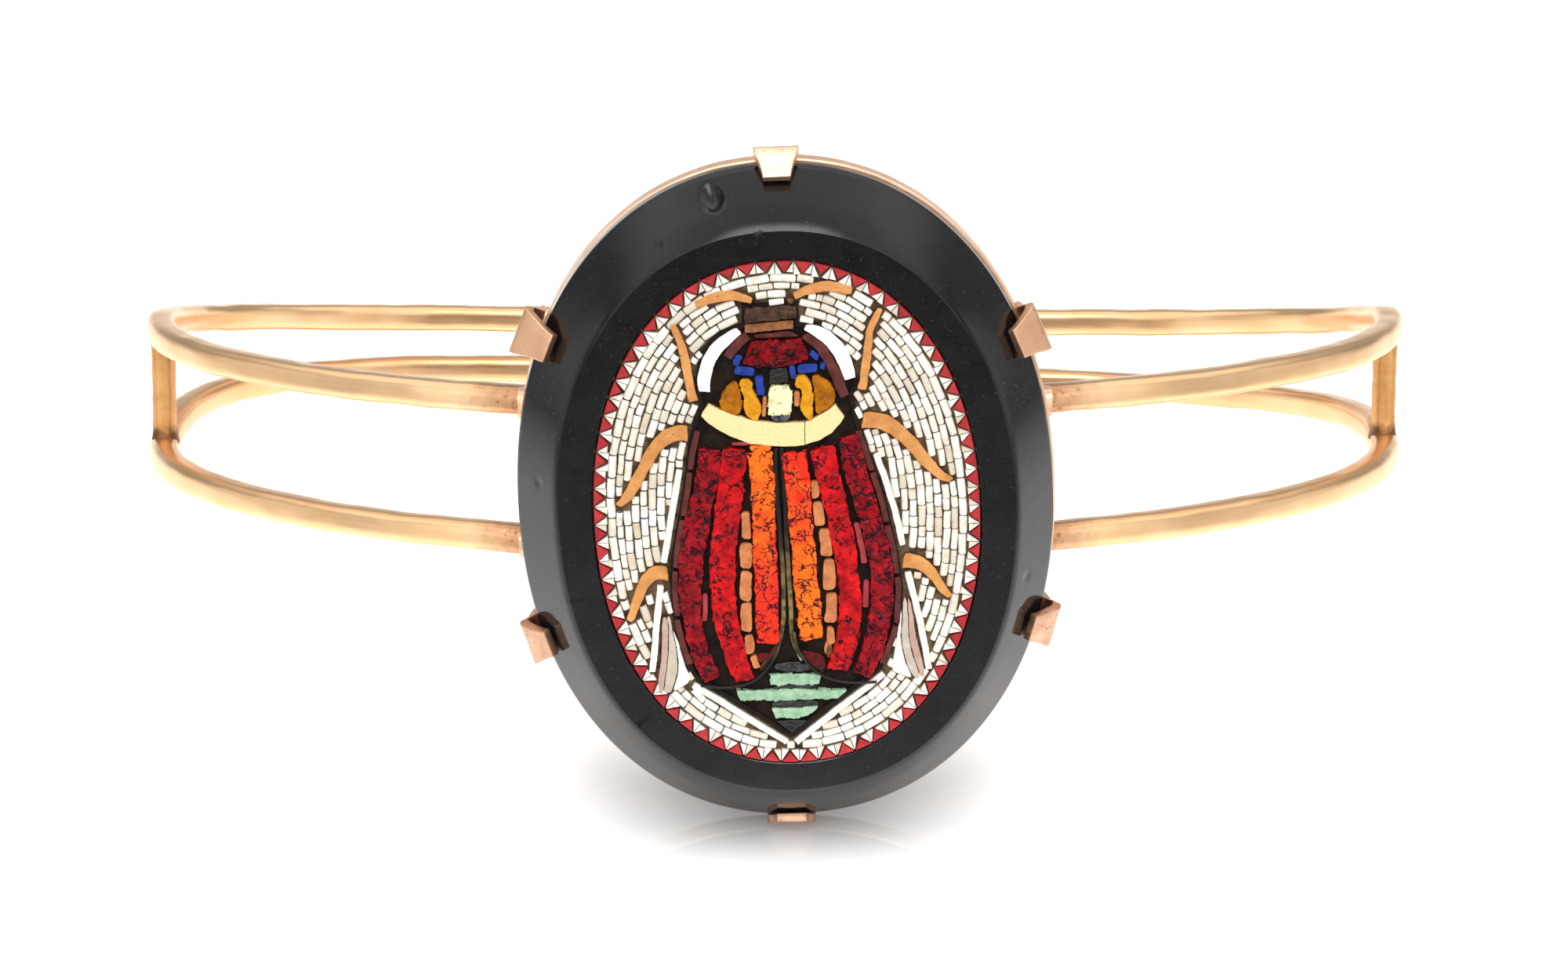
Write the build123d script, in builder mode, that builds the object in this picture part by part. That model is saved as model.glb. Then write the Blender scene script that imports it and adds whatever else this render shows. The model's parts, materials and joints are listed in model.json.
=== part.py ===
from build123d import *
import os
from math import atan2, cos, degrees, hypot, radians, sin, tan

os.makedirs("parts", exist_ok=True)

# All lengths are millimetres. The bracelet is drawn with its band level: X to the wearer's right as
# it is looked at, Y from the plaque at the front to the back of the wrist, Z up along the wrist.
# At the end every piece is leaned back together, to rest on the lowest claw and the back wire.

# Hoops: two soft-square wires round an oval, from one side of the plaque to the other
BAND_HALF_WIDTH = 31.3
FRONT_REACH = 22.5
BACK_REACH = 19.5
FRONT_ROUNDNESS = 1.95
BACK_ROUNDNESS = 2.8
WIRE_TALL = 1.38
WIRE_DEEP = 1.4
WIRE_CORNER = 0.42
WIRE_END_INSET = 0.3
ROUTE_POINTS = 23

# The share of a straight run that the bend at each of its ends may take up
BEND_SHARE = 0.45

# How far each hoop stands above or below the band's middle line
FRONT_SPREAD = 3.37
SIDE_SPREAD = 3.23
BACK_SPREAD = 1.45
CONVERGING = 0.58
BACK_DROP = 1.84
UPPER_TWIST = 0.4
LOWER_TWIST = 1.2

# Posts that join the hoops at the two sides
POST_WIDE = 1.3
POST_DEEP = 1.6
POST_CORNER = 0.3
POST_SINK = 0.45

# Plaque: an oval of black stone with a gently convex bevel, its top tipped a little forward
PLAQUE_HALF_WIDE = 12.5
PLAQUE_HALF_TALL = 15.8
FLAT_HALF_WIDE = 10.54
FLAT_HALF_TALL = 13.48
GIRDLE = 1.0
BEVEL_DEPTH = 3.0
BEVEL_BULGE = 0.16
PLAQUE_FORWARD = 23.5
PLAQUE_LOWERED = 0.55
PLAQUE_TIP = 4.4

# Setting: an open oval frame behind the stone, and six folded claws
SEAT_GAP = 0.05
FRAME_OVER = 0.12
FRAME_RING = 2.4
FRAME_THICK = 1.3
CLAW_WIDE = 2.15
CLAW_TIP_WIDE = 1.25
CLAW_THICK = 0.42
CLAW_REACH = 0.7
CLAW_FOLD = 0.4
CLAW_STAND_OFF = 1.15
SOLDER_LONG = 2.3

# Mosaic: a shallow oval bed in the stone's face, filled flush with small glass rods
MOSAIC_HALF_WIDE = 8.92
MOSAIC_HALF_TALL = 12.1
RECESS_DEPTH = 1.3
INLAY_THICK = 0.8
INLAY_PROUD = 0.08
JOINT = 0.1
TEETH = 76
TOOTH_TALL = 0.5
TOOTH_APART = 0.14
TIP_INSET = 0.02
BORDER_JOINT = 0.06

# How much of a chip's lesser side its corners round off
CHIP_ROUNDNESS = 0.3

# Bits of the white ground smaller than this, in cubic millimetres, are left out
SLIVER = 1.0

# How the bracelet leans back, and how little it rolls, when it stands on its own
REST_LEAN = 17.15
REST_ROLL = 0.0

# Planes of the plaque, seen from the front: x to the right, y up the stone, z out of its face
GIRDLE_MIDDLE = Plane(
    origin=(0, -PLAQUE_FORWARD, -PLAQUE_LOWERED),
    x_dir=(1, 0, 0),
    z_dir=(0, -cos(radians(PLAQUE_TIP)), -sin(radians(PLAQUE_TIP))),
)
STONE_BACK = GIRDLE_MIDDLE.offset(-GIRDLE / 2)
FACE = GIRDLE_MIDDLE.offset(GIRDLE / 2 + BEVEL_DEPTH)
FRAME_FRONT = STONE_BACK.offset(-SEAT_GAP)
INLAY_TOP = FACE.offset(INLAY_PROUD)
RIM = Edge.make_ellipse(MOSAIC_HALF_WIDE, MOSAIC_HALF_TALL)

# Claws: where each stands round the oval, in degrees from the right-hand side, and how far its
# fold stands out from the stone's edge, as a share of the furthest one
CLAWS = [
    # name, turn, stand_off
    ("top", 92, 0.68),
    ("upper_left", 154, 1.0),
    ("upper_right", 27, 0.87),
    ("lower_left", 207, 0.78),
    ("lower_right", 336, 0.78),
    ("bottom", 272, 0.44),
]

# Strips of the beetle and its ground. Each row has the points that the strip's middle runs through
# and its width at each of them. Points are shares of the mosaic's half width and half height,
# measured from its centre; widths are shares of its half width.
LIMBS = [
    # name, points, widths
    ("left_antenna", [(-0.47, 0.829), (-0.314, 0.866), (-0.185, 0.844)], [0.032, 0.045, 0.024]),
    ("right_antenna", [(0.034, 0.862), (0.148, 0.897), (0.322, 0.884)], [0.024, 0.045, 0.032]),
    (
        "left_front_leg",
        [(-0.59, 0.753), (-0.537, 0.65), (-0.509, 0.544), (-0.485, 0.456)],
        [0.02, 0.036, 0.041, 0.041],
    ),
    (
        "right_front_leg",
        [(0.471, 0.812), (0.42, 0.725), (0.4, 0.616), (0.38, 0.5)],
        [0.02, 0.032, 0.036, 0.036],
    ),
    (
        "left_middle_leg",
        [(-0.517, 0.325), (-0.594, 0.322), (-0.736, 0.203), (-0.874, 0.044)],
        [0.08, 0.073, 0.053, 0.024],
    ),
    (
        "right_middle_leg",
        [(0.388, 0.375), (0.513, 0.362), (0.655, 0.269), (0.842, 0.137)],
        [0.08, 0.073, 0.057, 0.024],
    ),
    (
        "left_hind_leg",
        [(-0.623, -0.231), (-0.696, -0.234), (-0.765, -0.312), (-0.821, -0.416)],
        [0.073, 0.061, 0.045, 0.024],
    ),
    (
        "right_hind_leg",
        [(0.606, -0.184), (0.7, -0.197), (0.785, -0.269), (0.846, -0.328)],
        [0.073, 0.061, 0.045, 0.024],
    ),
]
WHITE_RODS = [
    # points
    [(-0.558, 0.178), (-0.594, 0.006), (-0.639, -0.187)],
    [(0.456, 0.241), (0.542, 0.056), (0.598, -0.119)],
    [(-0.659, -0.281), (-0.68, -0.45), (-0.7, -0.628)],
    [(0.627, -0.231), (0.684, -0.4), (0.744, -0.619)],
    [(-0.485, -0.684), (-0.237, -0.803), (0.002, -0.916)],
    [(0.505, -0.641), (0.278, -0.778), (0.051, -0.916)],
]
ROD_WIDTH = 0.027
BODY_STRIPS = [
    # name, points, widths
    ("left_shoulder", [(-0.205, 0.709), (-0.27, 0.669), (-0.306, 0.625)], [0.037, 0.041, 0.037]),
    (
        "right_shoulder",
        [(0.087, 0.709), (0.193, 0.634), (0.254, 0.544), (0.29, 0.475)],
        [0.032, 0.045, 0.045, 0.045],
    ),
    (
        "left_cheek",
        [(-0.253, 0.728), (-0.375, 0.65), (-0.424, 0.569), (-0.428, 0.494)],
        [0.032, 0.061, 0.061, 0.053],
    ),
    (
        "right_cheek",
        [(0.091, 0.744), (0.2, 0.703), (0.278, 0.631), (0.318, 0.544)],
        [0.024, 0.057, 0.065, 0.053],
    ),
    ("left_amber", [(-0.245, 0.528), (-0.282, 0.462), (-0.266, 0.406)], [0.032, 0.097, 0.04]),
    ("left_amber_core", [(-0.203, 0.525), (-0.183, 0.459), (-0.168, 0.4)], [0.028, 0.065, 0.057]),
    ("right_amber", [(0.148, 0.537), (0.187, 0.475), (0.187, 0.437)], [0.049, 0.09, 0.057]),
    ("right_amber_core", [(0.071, 0.537), (0.097, 0.466), (0.108, 0.4)], [0.053, 0.069, 0.053]),
    (
        "collar",
        [(-0.424, 0.419), (-0.278, 0.356), (-0.059, 0.322), (0.128, 0.337), (0.266, 0.416)],
        [0.073, 0.105, 0.118, 0.11, 0.081],
    ),
    (
        "left_outer_wing",
        [(-0.4, 0.262), (-0.444, 0.05), (-0.497, -0.191), (-0.491, -0.425), (-0.387, -0.656)],
        [0.097, 0.122, 0.122, 0.096, 0.085],
    ),
    (
        "left_inner_wing",
        [(-0.278, 0.262), (-0.302, 0.05), (-0.335, -0.191), (-0.314, -0.431), (-0.217, -0.659)],
        [0.122, 0.122, 0.126, 0.118, 0.089],
    ),
    (
        "left_gold_wing",
        [(-0.14, 0.25), (-0.124, 0.037), (-0.11, -0.269), (-0.1, -0.509)],
        [0.118, 0.114, 0.114, 0.11],
    ),
    (
        "right_gold_wing",
        [(0.038, 0.25), (0.063, 0.022), (0.095, -0.228), (0.126, -0.492)],
        [0.114, 0.114, 0.114, 0.114],
    ),
    (
        "right_inner_wing",
        [(0.18, 0.266), (0.249, 0.037), (0.314, -0.197), (0.326, -0.416), (0.266, -0.619)],
        [0.118, 0.109, 0.105, 0.11, 0.101],
    ),
    (
        "right_outer_wing",
        [(0.31, 0.312), (0.395, 0.069), (0.481, -0.175), (0.485, -0.416), (0.387, -0.637)],
        [0.089, 0.11, 0.11, 0.105, 0.089],
    ),
    (
        "left_seam",
        [(-0.061, 0.266), (-0.032, -0.119), (-0.018, -0.322), (-0.041, -0.512), (-0.128, -0.619)],
        [0.016, 0.016, 0.016, 0.016, 0.016],
    ),
    (
        "right_seam",
        [(-0.032, 0.266), (-0.002, -0.119), (0.02, -0.394), (0.046, -0.53), (0.13, -0.602), (0.189, -0.63)],
        [0.016, 0.016, 0.016, 0.016, 0.016, 0.016],
    ),
]

# Thin dark strips along the beetle's two sides, one row for each strip, named for its side
EDGING = [
    # side, points
    ("left", [(-0.464, 0.334), (-0.485, 0.269), (-0.501, 0.187)]),
    ("left", [(-0.505, 0.169), (-0.517, 0.094), (-0.537, 0.0)]),
    ("left", [(-0.542, -0.019), (-0.566, -0.119), (-0.578, -0.206)]),
    ("left", [(-0.582, -0.225), (-0.582, -0.306), (-0.57, -0.4)]),
    ("left", [(-0.57, -0.419), (-0.547, -0.5), (-0.503, -0.594)]),
    ("right", [(0.363, 0.334), (0.4, 0.262), (0.436, 0.181)]),
    ("right", [(0.44, 0.169), (0.477, 0.081), (0.513, -0.025)]),
    ("right", [(0.519, -0.044), (0.55, -0.137), (0.57, -0.231)]),
    ("right", [(0.574, -0.25), (0.578, -0.337), (0.57, -0.431)]),
    ("right", [(0.566, -0.45), (0.538, -0.519), (0.497, -0.594)]),
]
EDGING_WIDTH = 0.024

# Blocks of the beetle, each by its corners, in the same shares
BLOCKS = [
    # name, corners
    ("head", [(-0.221, 0.816), (0.034, 0.825), (0.034, 0.781), (-0.217, 0.766)]),
    ("head_band", [(-0.221, 0.752), (0.026, 0.768), (0.026, 0.741), (-0.217, 0.725)]),
    ("neck", [(-0.172, 0.712), (0.01, 0.725), (0.051, 0.706), (-0.168, 0.704)]),
    (
        "shield",
        [(-0.189, 0.69), (0.075, 0.692), (0.099, 0.616), (0.006, 0.6), (-0.144, 0.584), (-0.225, 0.603)],
    ),
    ("black_block", [(-0.087, 0.575), (-0.002, 0.581), (-0.002, 0.53), (-0.091, 0.522)]),
    (
        "gold_leaf",
        [(-0.099, 0.509), (0.002, 0.516), (0.022, 0.491), (0.022, 0.437), (0.01, 0.406), (-0.095, 0.403)],
    ),
    ("tail_tip", [(-0.055, -0.831), (0.107, -0.828), (0.026, -0.875)]),
]
WING_TIPS = [
    # name, corners
    (
        "left_wing_tip",
        [
            (-0.647, -0.409), (-0.619, -0.409), (-0.59, -0.472),
            (-0.533, -0.619), (-0.521, -0.669), (-0.663, -0.706),
        ],
    ),
    (
        "right_wing_tip",
        [
            (0.619, -0.328), (0.639, -0.344), (0.647, -0.406),
            (0.716, -0.634), (0.692, -0.656), (0.566, -0.622),
        ],
    ),
]
TAIL_BARS = [
    # corners
    [(-0.091, -0.637), (0.18, -0.641), (0.172, -0.678), (-0.091, -0.681)],
    [(-0.266, -0.703), (0.31, -0.703), (0.266, -0.737), (-0.241, -0.744)],
    [(-0.071, -0.781), (0.164, -0.772), (0.107, -0.809), (-0.055, -0.816)],
]

# Small chips, each by its centre, width, height and turn in degrees
CHIPS = [
    # name, centre, width, height, turn
    ("blue_chips", (-0.26, 0.616), 0.028, 0.053, -25),
    ("blue_chips", (-0.225, 0.569), 0.097, 0.037, -5),
    ("blue_chips", (-0.144, 0.516), 0.041, 0.097, 4),
    ("blue_chips", (0.132, 0.634), 0.049, 0.028, -40),
    ("blue_chips", (0.103, 0.581), 0.089, 0.041, 2),
    ("blue_chips", (0.026, 0.569), 0.024, 0.061, 0),
    ("blue_chips", (0.176, 0.591), 0.016, 0.032, 0),
    ("copper_chips", (-0.12, 0.431), 0.014, 0.097, 0),
    ("copper_chips", (0.047, 0.462), 0.022, 0.073, 0),
    ("left_beads", (-0.213, -0.041), 0.041, 0.134, 0),
    ("left_beads", (-0.213, -0.162), 0.053, 0.134, 0),
    ("left_beads", (-0.215, -0.284), 0.053, 0.15, 0),
    ("left_beads", (-0.213, -0.409), 0.053, 0.146, 0),
    ("left_beads", (-0.197, -0.516), 0.041, 0.097, 8),
    ("left_beads", (-0.164, -0.587), 0.032, 0.069, 12),
    ("right_beads", (0.144, 0.1), 0.037, 0.089, 6),
    ("right_beads", (0.162, 0.005), 0.049, 0.118, 6),
    ("right_beads", (0.2, -0.108), 0.053, 0.142, 4),
    ("right_beads", (0.219, -0.237), 0.061, 0.158, 2),
    ("right_beads", (0.231, -0.37), 0.057, 0.154, 0),
    ("right_beads", (0.229, -0.481), 0.032, 0.077, 0),
    ("dark_slivers", (-0.426, -0.369), 0.02, 0.138, 0),
    ("dark_slivers", (0.379, -0.112), 0.024, 0.219, 12),
    ("dark_slivers", (0.408, -0.316), 0.024, 0.138, 0),
]

# The beetle's outline in the white ground, as corners in the same shares
BODY_OUTLINE = [
    (-0.237, 0.831), (0.05, 0.84), (0.058, 0.76), (0.148, 0.76), (0.254, 0.709),
    (0.331, 0.616), (0.363, 0.531), (0.335, 0.475), (0.367, 0.372), (0.416, 0.272),
    (0.513, 0.056), (0.582, -0.175), (0.602, -0.294), (0.594, -0.428), (0.554, -0.525),
    (0.497, -0.619), (0.026, -0.9), (-0.485, -0.656), (-0.558, -0.525), (-0.598, -0.391),
    (-0.611, -0.253), (-0.598, -0.15), (-0.55, 0.056), (-0.513, 0.272), (-0.487, 0.366),
    (-0.455, 0.437), (-0.473, 0.506), (-0.466, 0.584), (-0.432, 0.662), (-0.359, 0.719),
    (-0.237, 0.755),
]


def hoop_point(turn, side):
    """A point on a hoop's middle line: side is 1 for the upper hoop and -1 for the lower one."""
    at_back = sin(radians(turn)) > 0
    reach = BACK_REACH if at_back else FRONT_REACH
    roundness = BACK_ROUNDNESS if at_back else FRONT_ROUNDNESS
    across = abs(cos(radians(turn)) / BAND_HALF_WIDTH) ** roundness
    along = abs(sin(radians(turn)) / reach) ** roundness
    radius = (across + along) ** (-1 / roundness)
    x = radius * cos(radians(turn))
    y = radius * sin(radians(turn))
    share = abs(y / reach) ** (roundness / 2)
    if not at_back:
        return Vector(x, y, side * (SIDE_SPREAD + (FRONT_SPREAD - SIDE_SPREAD) * share))
    spread = SIDE_SPREAD + (BACK_SPREAD - SIDE_SPREAD) * share**CONVERGING
    sideways = (abs(x) / BAND_HALF_WIDTH) ** (roundness / 2) * (1 if x > 0 else -1)
    twist = UPPER_TWIST if side > 0 else LOWER_TWIST
    return Vector(x, y, side * spread - BACK_DROP * share - twist * sideways * share)


def corner_radius(before, corner, after):
    """The largest arc that the two runs at a corner leave room for."""
    half_turn = radians((corner - before).get_angle(after - corner) / 2)
    return BEND_SHARE * min((corner - before).length, (after - corner).length) / tan(half_turn)


def hoop_route(side):
    """A hoop's route, from the plaque's right-hand side round the back to its left-hand side."""
    wire_end = FLAT_HALF_WIDE - WIRE_END_INSET
    across = (wire_end / BAND_HALF_WIDTH) ** FRONT_ROUNDNESS
    end_turn = degrees(atan2(FRONT_REACH * (1 - across) ** (1 / FRONT_ROUNDNESS), wire_end))
    step = (180 + 2 * end_turn) / (ROUTE_POINTS - 1)
    return [hoop_point(step * i - end_turn, side) for i in range(ROUTE_POINTS)]


def on_mosaic(share_wide, share_tall):
    """A point of the mosaic, from its shares of the mosaic's two halves."""
    return Vector(share_wide * MOSAIC_HALF_WIDE, share_tall * MOSAIC_HALF_TALL)


def strip(points, widths, grow=0.0, mode=Mode.ADD):
    """Draws a strip whose middle runs through the points, grown all round if asked."""
    middle = [on_mosaic(*point) for point in points]
    last = len(middle) - 1
    left, right = [], []
    for i, (centre, width) in enumerate(zip(middle, widths)):
        along = (middle[min(i + 1, last)] - middle[max(i - 1, 0)]).normalized()
        outward = along.rotate(Axis.Z, 90) * (width * MOSAIC_HALF_WIDE / 2 + grow)
        beyond = along * (grow if i == last else -grow if i == 0 else 0)
        left.append(centre + beyond + outward)
        right.append(centre + beyond - outward)
    with BuildLine() as outline:
        Spline(*left)
        Line(left[-1], right[-1])
        Spline(*reversed(right))
        Line(right[0], left[0])
    make_face(outline.edges(), mode=mode)


def block(corners, grow=0.0, mode=Mode.ADD):
    """Draws a straight-sided block, grown all round if asked."""
    with BuildLine() as outline:
        Polyline(*[on_mosaic(*corner) for corner in corners], close=True)
    if grow:
        face = make_face(outline.edges(), mode=Mode.PRIVATE)
        offset(face, amount=grow, kind=Kind.INTERSECTION, mode=mode)
    else:
        make_face(outline.edges(), mode=mode)


def chip(centre, width, height, turn):
    """Draws a small chip with rounded corners."""
    wide, tall = width * MOSAIC_HALF_WIDE, height * MOSAIC_HALF_WIDE
    with Locations(Location(on_mosaic(*centre), turn)):
        RectangleRounded(wide, tall, CHIP_ROUNDNESS * min(wide, tall))


def rim_point(place, inset=0.0):
    """A point of the mosaic's edge, counted in teeth from its right-hand side, moved inward."""
    share = place / TEETH
    return RIM @ share + (RIM % share).rotate(Axis.Z, 90) * inset


def claw_plane(turn):
    """The plane that a claw's bent side is drawn on: x out of the stone's edge, y to the front."""
    across, along = PLAQUE_HALF_WIDE * cos(radians(turn)), PLAQUE_HALF_TALL * sin(radians(turn))
    outward = Vector(across / PLAQUE_HALF_WIDE**2, along / PLAQUE_HALF_TALL**2).normalized()
    edge_point = GIRDLE_MIDDLE.from_local_coords(Vector(across, along))
    x_dir = GIRDLE_MIDDLE.from_local_coords(Vector(across, along) + outward) - edge_point
    return Plane(origin=edge_point, x_dir=x_dir, z_dir=x_dir.cross(GIRDLE_MIDDLE.z_dir))


# Claws: each rises from the frame, stands off the stone's edge and folds in onto the bevel
claws = []
for name, turn, share in CLAWS:
    stand_off = share * CLAW_STAND_OFF
    back = -GIRDLE / 2 - SEAT_GAP
    steep = BEVEL_DEPTH / (PLAQUE_HALF_WIDE - FLAT_HALF_WIDE)
    tip_high = GIRDLE / 2 + CLAW_REACH * steep + BEVEL_BULGE + SEAT_GAP
    lean_in = atan2(tip_high - CLAW_FOLD, CLAW_REACH + stand_off - CLAW_THICK)
    with BuildPart() as claw:
        side_view = claw_plane(turn)
        with BuildSketch(side_view):
            with BuildLine():
                Polyline(
                    (-CLAW_THICK, back - FRAME_THICK),
                    (FRAME_OVER + CLAW_THICK / 2, back - FRAME_THICK),
                    (stand_off, CLAW_FOLD + CLAW_THICK * (1 / cos(lean_in) - tan(lean_in))),
                    (-CLAW_REACH + CLAW_THICK * sin(lean_in), tip_high + CLAW_THICK * cos(lean_in)),
                    (-CLAW_REACH, tip_high),
                    (stand_off - CLAW_THICK, CLAW_FOLD),
                    (FRAME_OVER, back),
                    (-CLAW_THICK, back),
                    close=True,
                )
            make_face()
        extrude(amount=CLAW_WIDE / 2, both=True)
        front_view = Plane(side_view.origin, x_dir=side_view.x_dir, z_dir=GIRDLE_MIDDLE.z_dir)
        with BuildSketch(front_view):
            with BuildLine():
                Polyline(
                    (-CLAW_REACH, -CLAW_TIP_WIDE / 2),
                    (stand_off - CLAW_THICK, -CLAW_WIDE / 2),
                    (stand_off, -CLAW_WIDE / 2),
                    (stand_off, CLAW_WIDE / 2),
                    (stand_off - CLAW_THICK, CLAW_WIDE / 2),
                    (-CLAW_REACH, CLAW_TIP_WIDE / 2),
                    close=True,
                )
            make_face()
        extrude(amount=BEVEL_DEPTH * 2, both=True, mode=Mode.INTERSECT)
    claws.append(claw.part)

# Gold mount: both hoops, the posts, the frame and the claws, soldered into one
with BuildPart() as gold_mount:
    for side in (1, -1):
        points = hoop_route(side)
        radii = [corner_radius(*points[i - 1 : i + 2]) for i in range(1, len(points) - 1)]
        with BuildLine() as route:
            FilletPolyline(*points, radius=radii)
        path = route.wire()
        with BuildSketch(Plane(origin=path @ 0, x_dir=(0, 0, 1), z_dir=path % 0)):
            RectangleRounded(WIRE_TALL, WIRE_DEEP, WIRE_CORNER)
        sweep(path=path)
    post_tall = 2 * (SIDE_SPREAD - WIRE_TALL / 2 + POST_SINK)
    with BuildSketch(Plane.XY.offset(-post_tall / 2)):
        with Locations((BAND_HALF_WIDTH, 0), (-BAND_HALF_WIDTH, 0)):
            RectangleRounded(POST_WIDE, POST_DEEP, POST_CORNER)
    extrude(amount=post_tall)
    with BuildSketch(FRAME_FRONT):
        Ellipse(PLAQUE_HALF_WIDE + FRAME_OVER, PLAQUE_HALF_TALL + FRAME_OVER)
        Ellipse(
            PLAQUE_HALF_WIDE + FRAME_OVER - FRAME_RING,
            PLAQUE_HALF_TALL + FRAME_OVER - FRAME_RING,
            mode=Mode.SUBTRACT,
        )
    extrude(amount=-FRAME_THICK)
    for side in (1, -1):
        for hand in (1, -1):
            end = hoop_route(side)[0 if hand > 0 else -1]
            with BuildSketch(Plane.XZ.offset(-end.Y)):
                with Locations((end.X + hand * SOLDER_LONG / 2, end.Z)):
                    RectangleRounded(SOLDER_LONG, WIRE_TALL, WIRE_CORNER)
            extrude(amount=PLAQUE_FORWARD + end.Y - GIRDLE / 2 - SEAT_GAP - FRAME_THICK / 2)
    for piece in claws:
        add(piece)

# Plaque: an oval black stone with a bevelled edge and a shallow recess in its face
with BuildPart() as plaque:
    with BuildSketch(STONE_BACK):
        Ellipse(PLAQUE_HALF_WIDE, PLAQUE_HALF_TALL)
    extrude(amount=GIRDLE)
    with BuildSketch(GIRDLE_MIDDLE.offset(GIRDLE / 2)):
        Ellipse(PLAQUE_HALF_WIDE, PLAQUE_HALF_TALL)
    with BuildSketch(GIRDLE_MIDDLE.offset(GIRDLE / 2 + BEVEL_DEPTH / 2)):
        Ellipse(
            (PLAQUE_HALF_WIDE + FLAT_HALF_WIDE) / 2 + BEVEL_BULGE,
            (PLAQUE_HALF_TALL + FLAT_HALF_TALL) / 2 + BEVEL_BULGE,
        )
    with BuildSketch(FACE):
        Ellipse(FLAT_HALF_WIDE, FLAT_HALF_TALL)
    loft()
    with BuildSketch(FACE):
        Ellipse(MOSAIC_HALF_WIDE + SEAT_GAP, MOSAIC_HALF_TALL + SEAT_GAP)
    extrude(amount=-RECESS_DEPTH, mode=Mode.SUBTRACT)

# Mosaic bed: the dark putty that the tesserae are set in
with BuildPart() as mosaic_bed:
    with BuildSketch(FACE.offset(SEAT_GAP - RECESS_DEPTH)):
        Ellipse(MOSAIC_HALF_WIDE, MOSAIC_HALF_TALL)
    extrude(amount=RECESS_DEPTH + INLAY_PROUD - INLAY_THICK - 2 * SEAT_GAP)

# White ground: a plate with a toothed edge, cut away for the beetle and its limbs
with BuildPart() as white_ground:
    half_base = (RIM.length / TEETH - TOOTH_APART) / 2
    valley = TOOTH_TALL + BORDER_JOINT * hypot(half_base, TOOTH_TALL) / half_base
    edge_points = []
    for i in range(TEETH):
        edge_points += [rim_point(i, TIP_INSET), rim_point(i + 0.5, valley)]
    with BuildSketch(INLAY_TOP):
        with BuildLine():
            Polyline(*edge_points, close=True)
        make_face()
        block(BODY_OUTLINE, mode=Mode.SUBTRACT)
        for name, points, widths in LIMBS:
            strip(points, widths, grow=JOINT, mode=Mode.SUBTRACT)
        for points in WHITE_RODS:
            strip(points, [ROD_WIDTH] * len(points), grow=JOINT, mode=Mode.SUBTRACT)
        for name, corners in WING_TIPS:
            block(corners, grow=JOINT, mode=Mode.SUBTRACT)
    extrude(amount=-INLAY_THICK)
    slivers = [solid for solid in white_ground.solids() if solid.volume < SLIVER]
    add(slivers, mode=Mode.SUBTRACT)

# Border: small red triangles between the teeth of the white ground
with BuildPart() as red_border:
    half_gap = TOOTH_APART / 2 / (RIM.length / TEETH)
    with BuildSketch(INLAY_TOP):
        for i in range(TEETH):
            with BuildLine():
                Polyline(
                    rim_point(i + half_gap),
                    rim_point(i + 1 - half_gap),
                    rim_point(i + 0.5, TOOTH_TALL),
                    close=True,
                )
            make_face()
    extrude(amount=-INLAY_THICK)

pieces = {
    "gold_mount": gold_mount,
    "plaque": plaque,
    "mosaic_bed": mosaic_bed,
    "white_ground": white_ground,
    "red_border": red_border,
}

# Beetle: strips, blocks and groups of small chips, all of one thickness
for name, points, widths in LIMBS + BODY_STRIPS:
    with BuildPart() as pieces[name]:
        with BuildSketch(INLAY_TOP):
            strip(points, widths)
        extrude(amount=-INLAY_THICK)
for name, corners in BLOCKS + WING_TIPS:
    with BuildPart() as pieces[name]:
        with BuildSketch(INLAY_TOP):
            block(corners)
        extrude(amount=-INLAY_THICK)
with BuildPart() as pieces["white_rods"]:
    with BuildSketch(INLAY_TOP):
        for points in WHITE_RODS:
            strip(points, [ROD_WIDTH] * len(points))
    extrude(amount=-INLAY_THICK)
for side_name in ("left", "right"):
    with BuildPart() as pieces[side_name + "_edging"]:
        with BuildSketch(INLAY_TOP):
            for side, points in EDGING:
                if side == side_name:
                    strip(points, [EDGING_WIDTH] * len(points))
        extrude(amount=-INLAY_THICK)
with BuildPart() as pieces["tail_bars"]:
    with BuildSketch(INLAY_TOP):
        for corners in TAIL_BARS:
            block(corners)
    extrude(amount=-INLAY_THICK)
for group in dict.fromkeys(row[0] for row in CHIPS):
    with BuildPart() as pieces[group]:
        with BuildSketch(INLAY_TOP):
            for name, centre, width, height, turn in CHIPS:
                if name == group:
                    chip(centre, width, height, turn)
        extrude(amount=-INLAY_THICK)

# At rest the bracelet leans back until its lower claw and its lower back wire both touch
for piece in pieces.values():
    piece.part.move(Location((0, 0, 0), (-REST_LEAN, REST_ROLL, 0)))
boxes = [piece.part.bounding_box() for piece in pieces.values()]
low_corner = [min(tuple(box.min)[i] for box in boxes) for i in range(3)]
high_corner = [max(tuple(box.max)[i] for box in boxes) for i in range(3)]
centring = Location(
    (-(low_corner[0] + high_corner[0]) / 2, -(low_corner[1] + high_corner[1]) / 2, -low_corner[2])
)
for name, piece in pieces.items():
    piece.part.move(centring)
    piece.part.label = name
    export_step(piece.part, f"parts/{name}.step")
    print(name, len(piece.part.solids()), piece.part.is_valid, round(piece.part.volume, 2))
print("moved by", centring)
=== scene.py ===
# %% [markdown]
# The bracelet is two gold wires that carry an oval plaque of black stone, and the plaque carries a
# beetle in glass mosaic. The measured solids are loaded first. Every piece below is made in their
# frame, in metres, so nothing is fitted by eye.

# %% Load the solids
import json
import math
import random

import bmesh
import bpy
from mathutils import Matrix, Vector, noise
from mathutils.bvhtree import BVHTree

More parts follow.
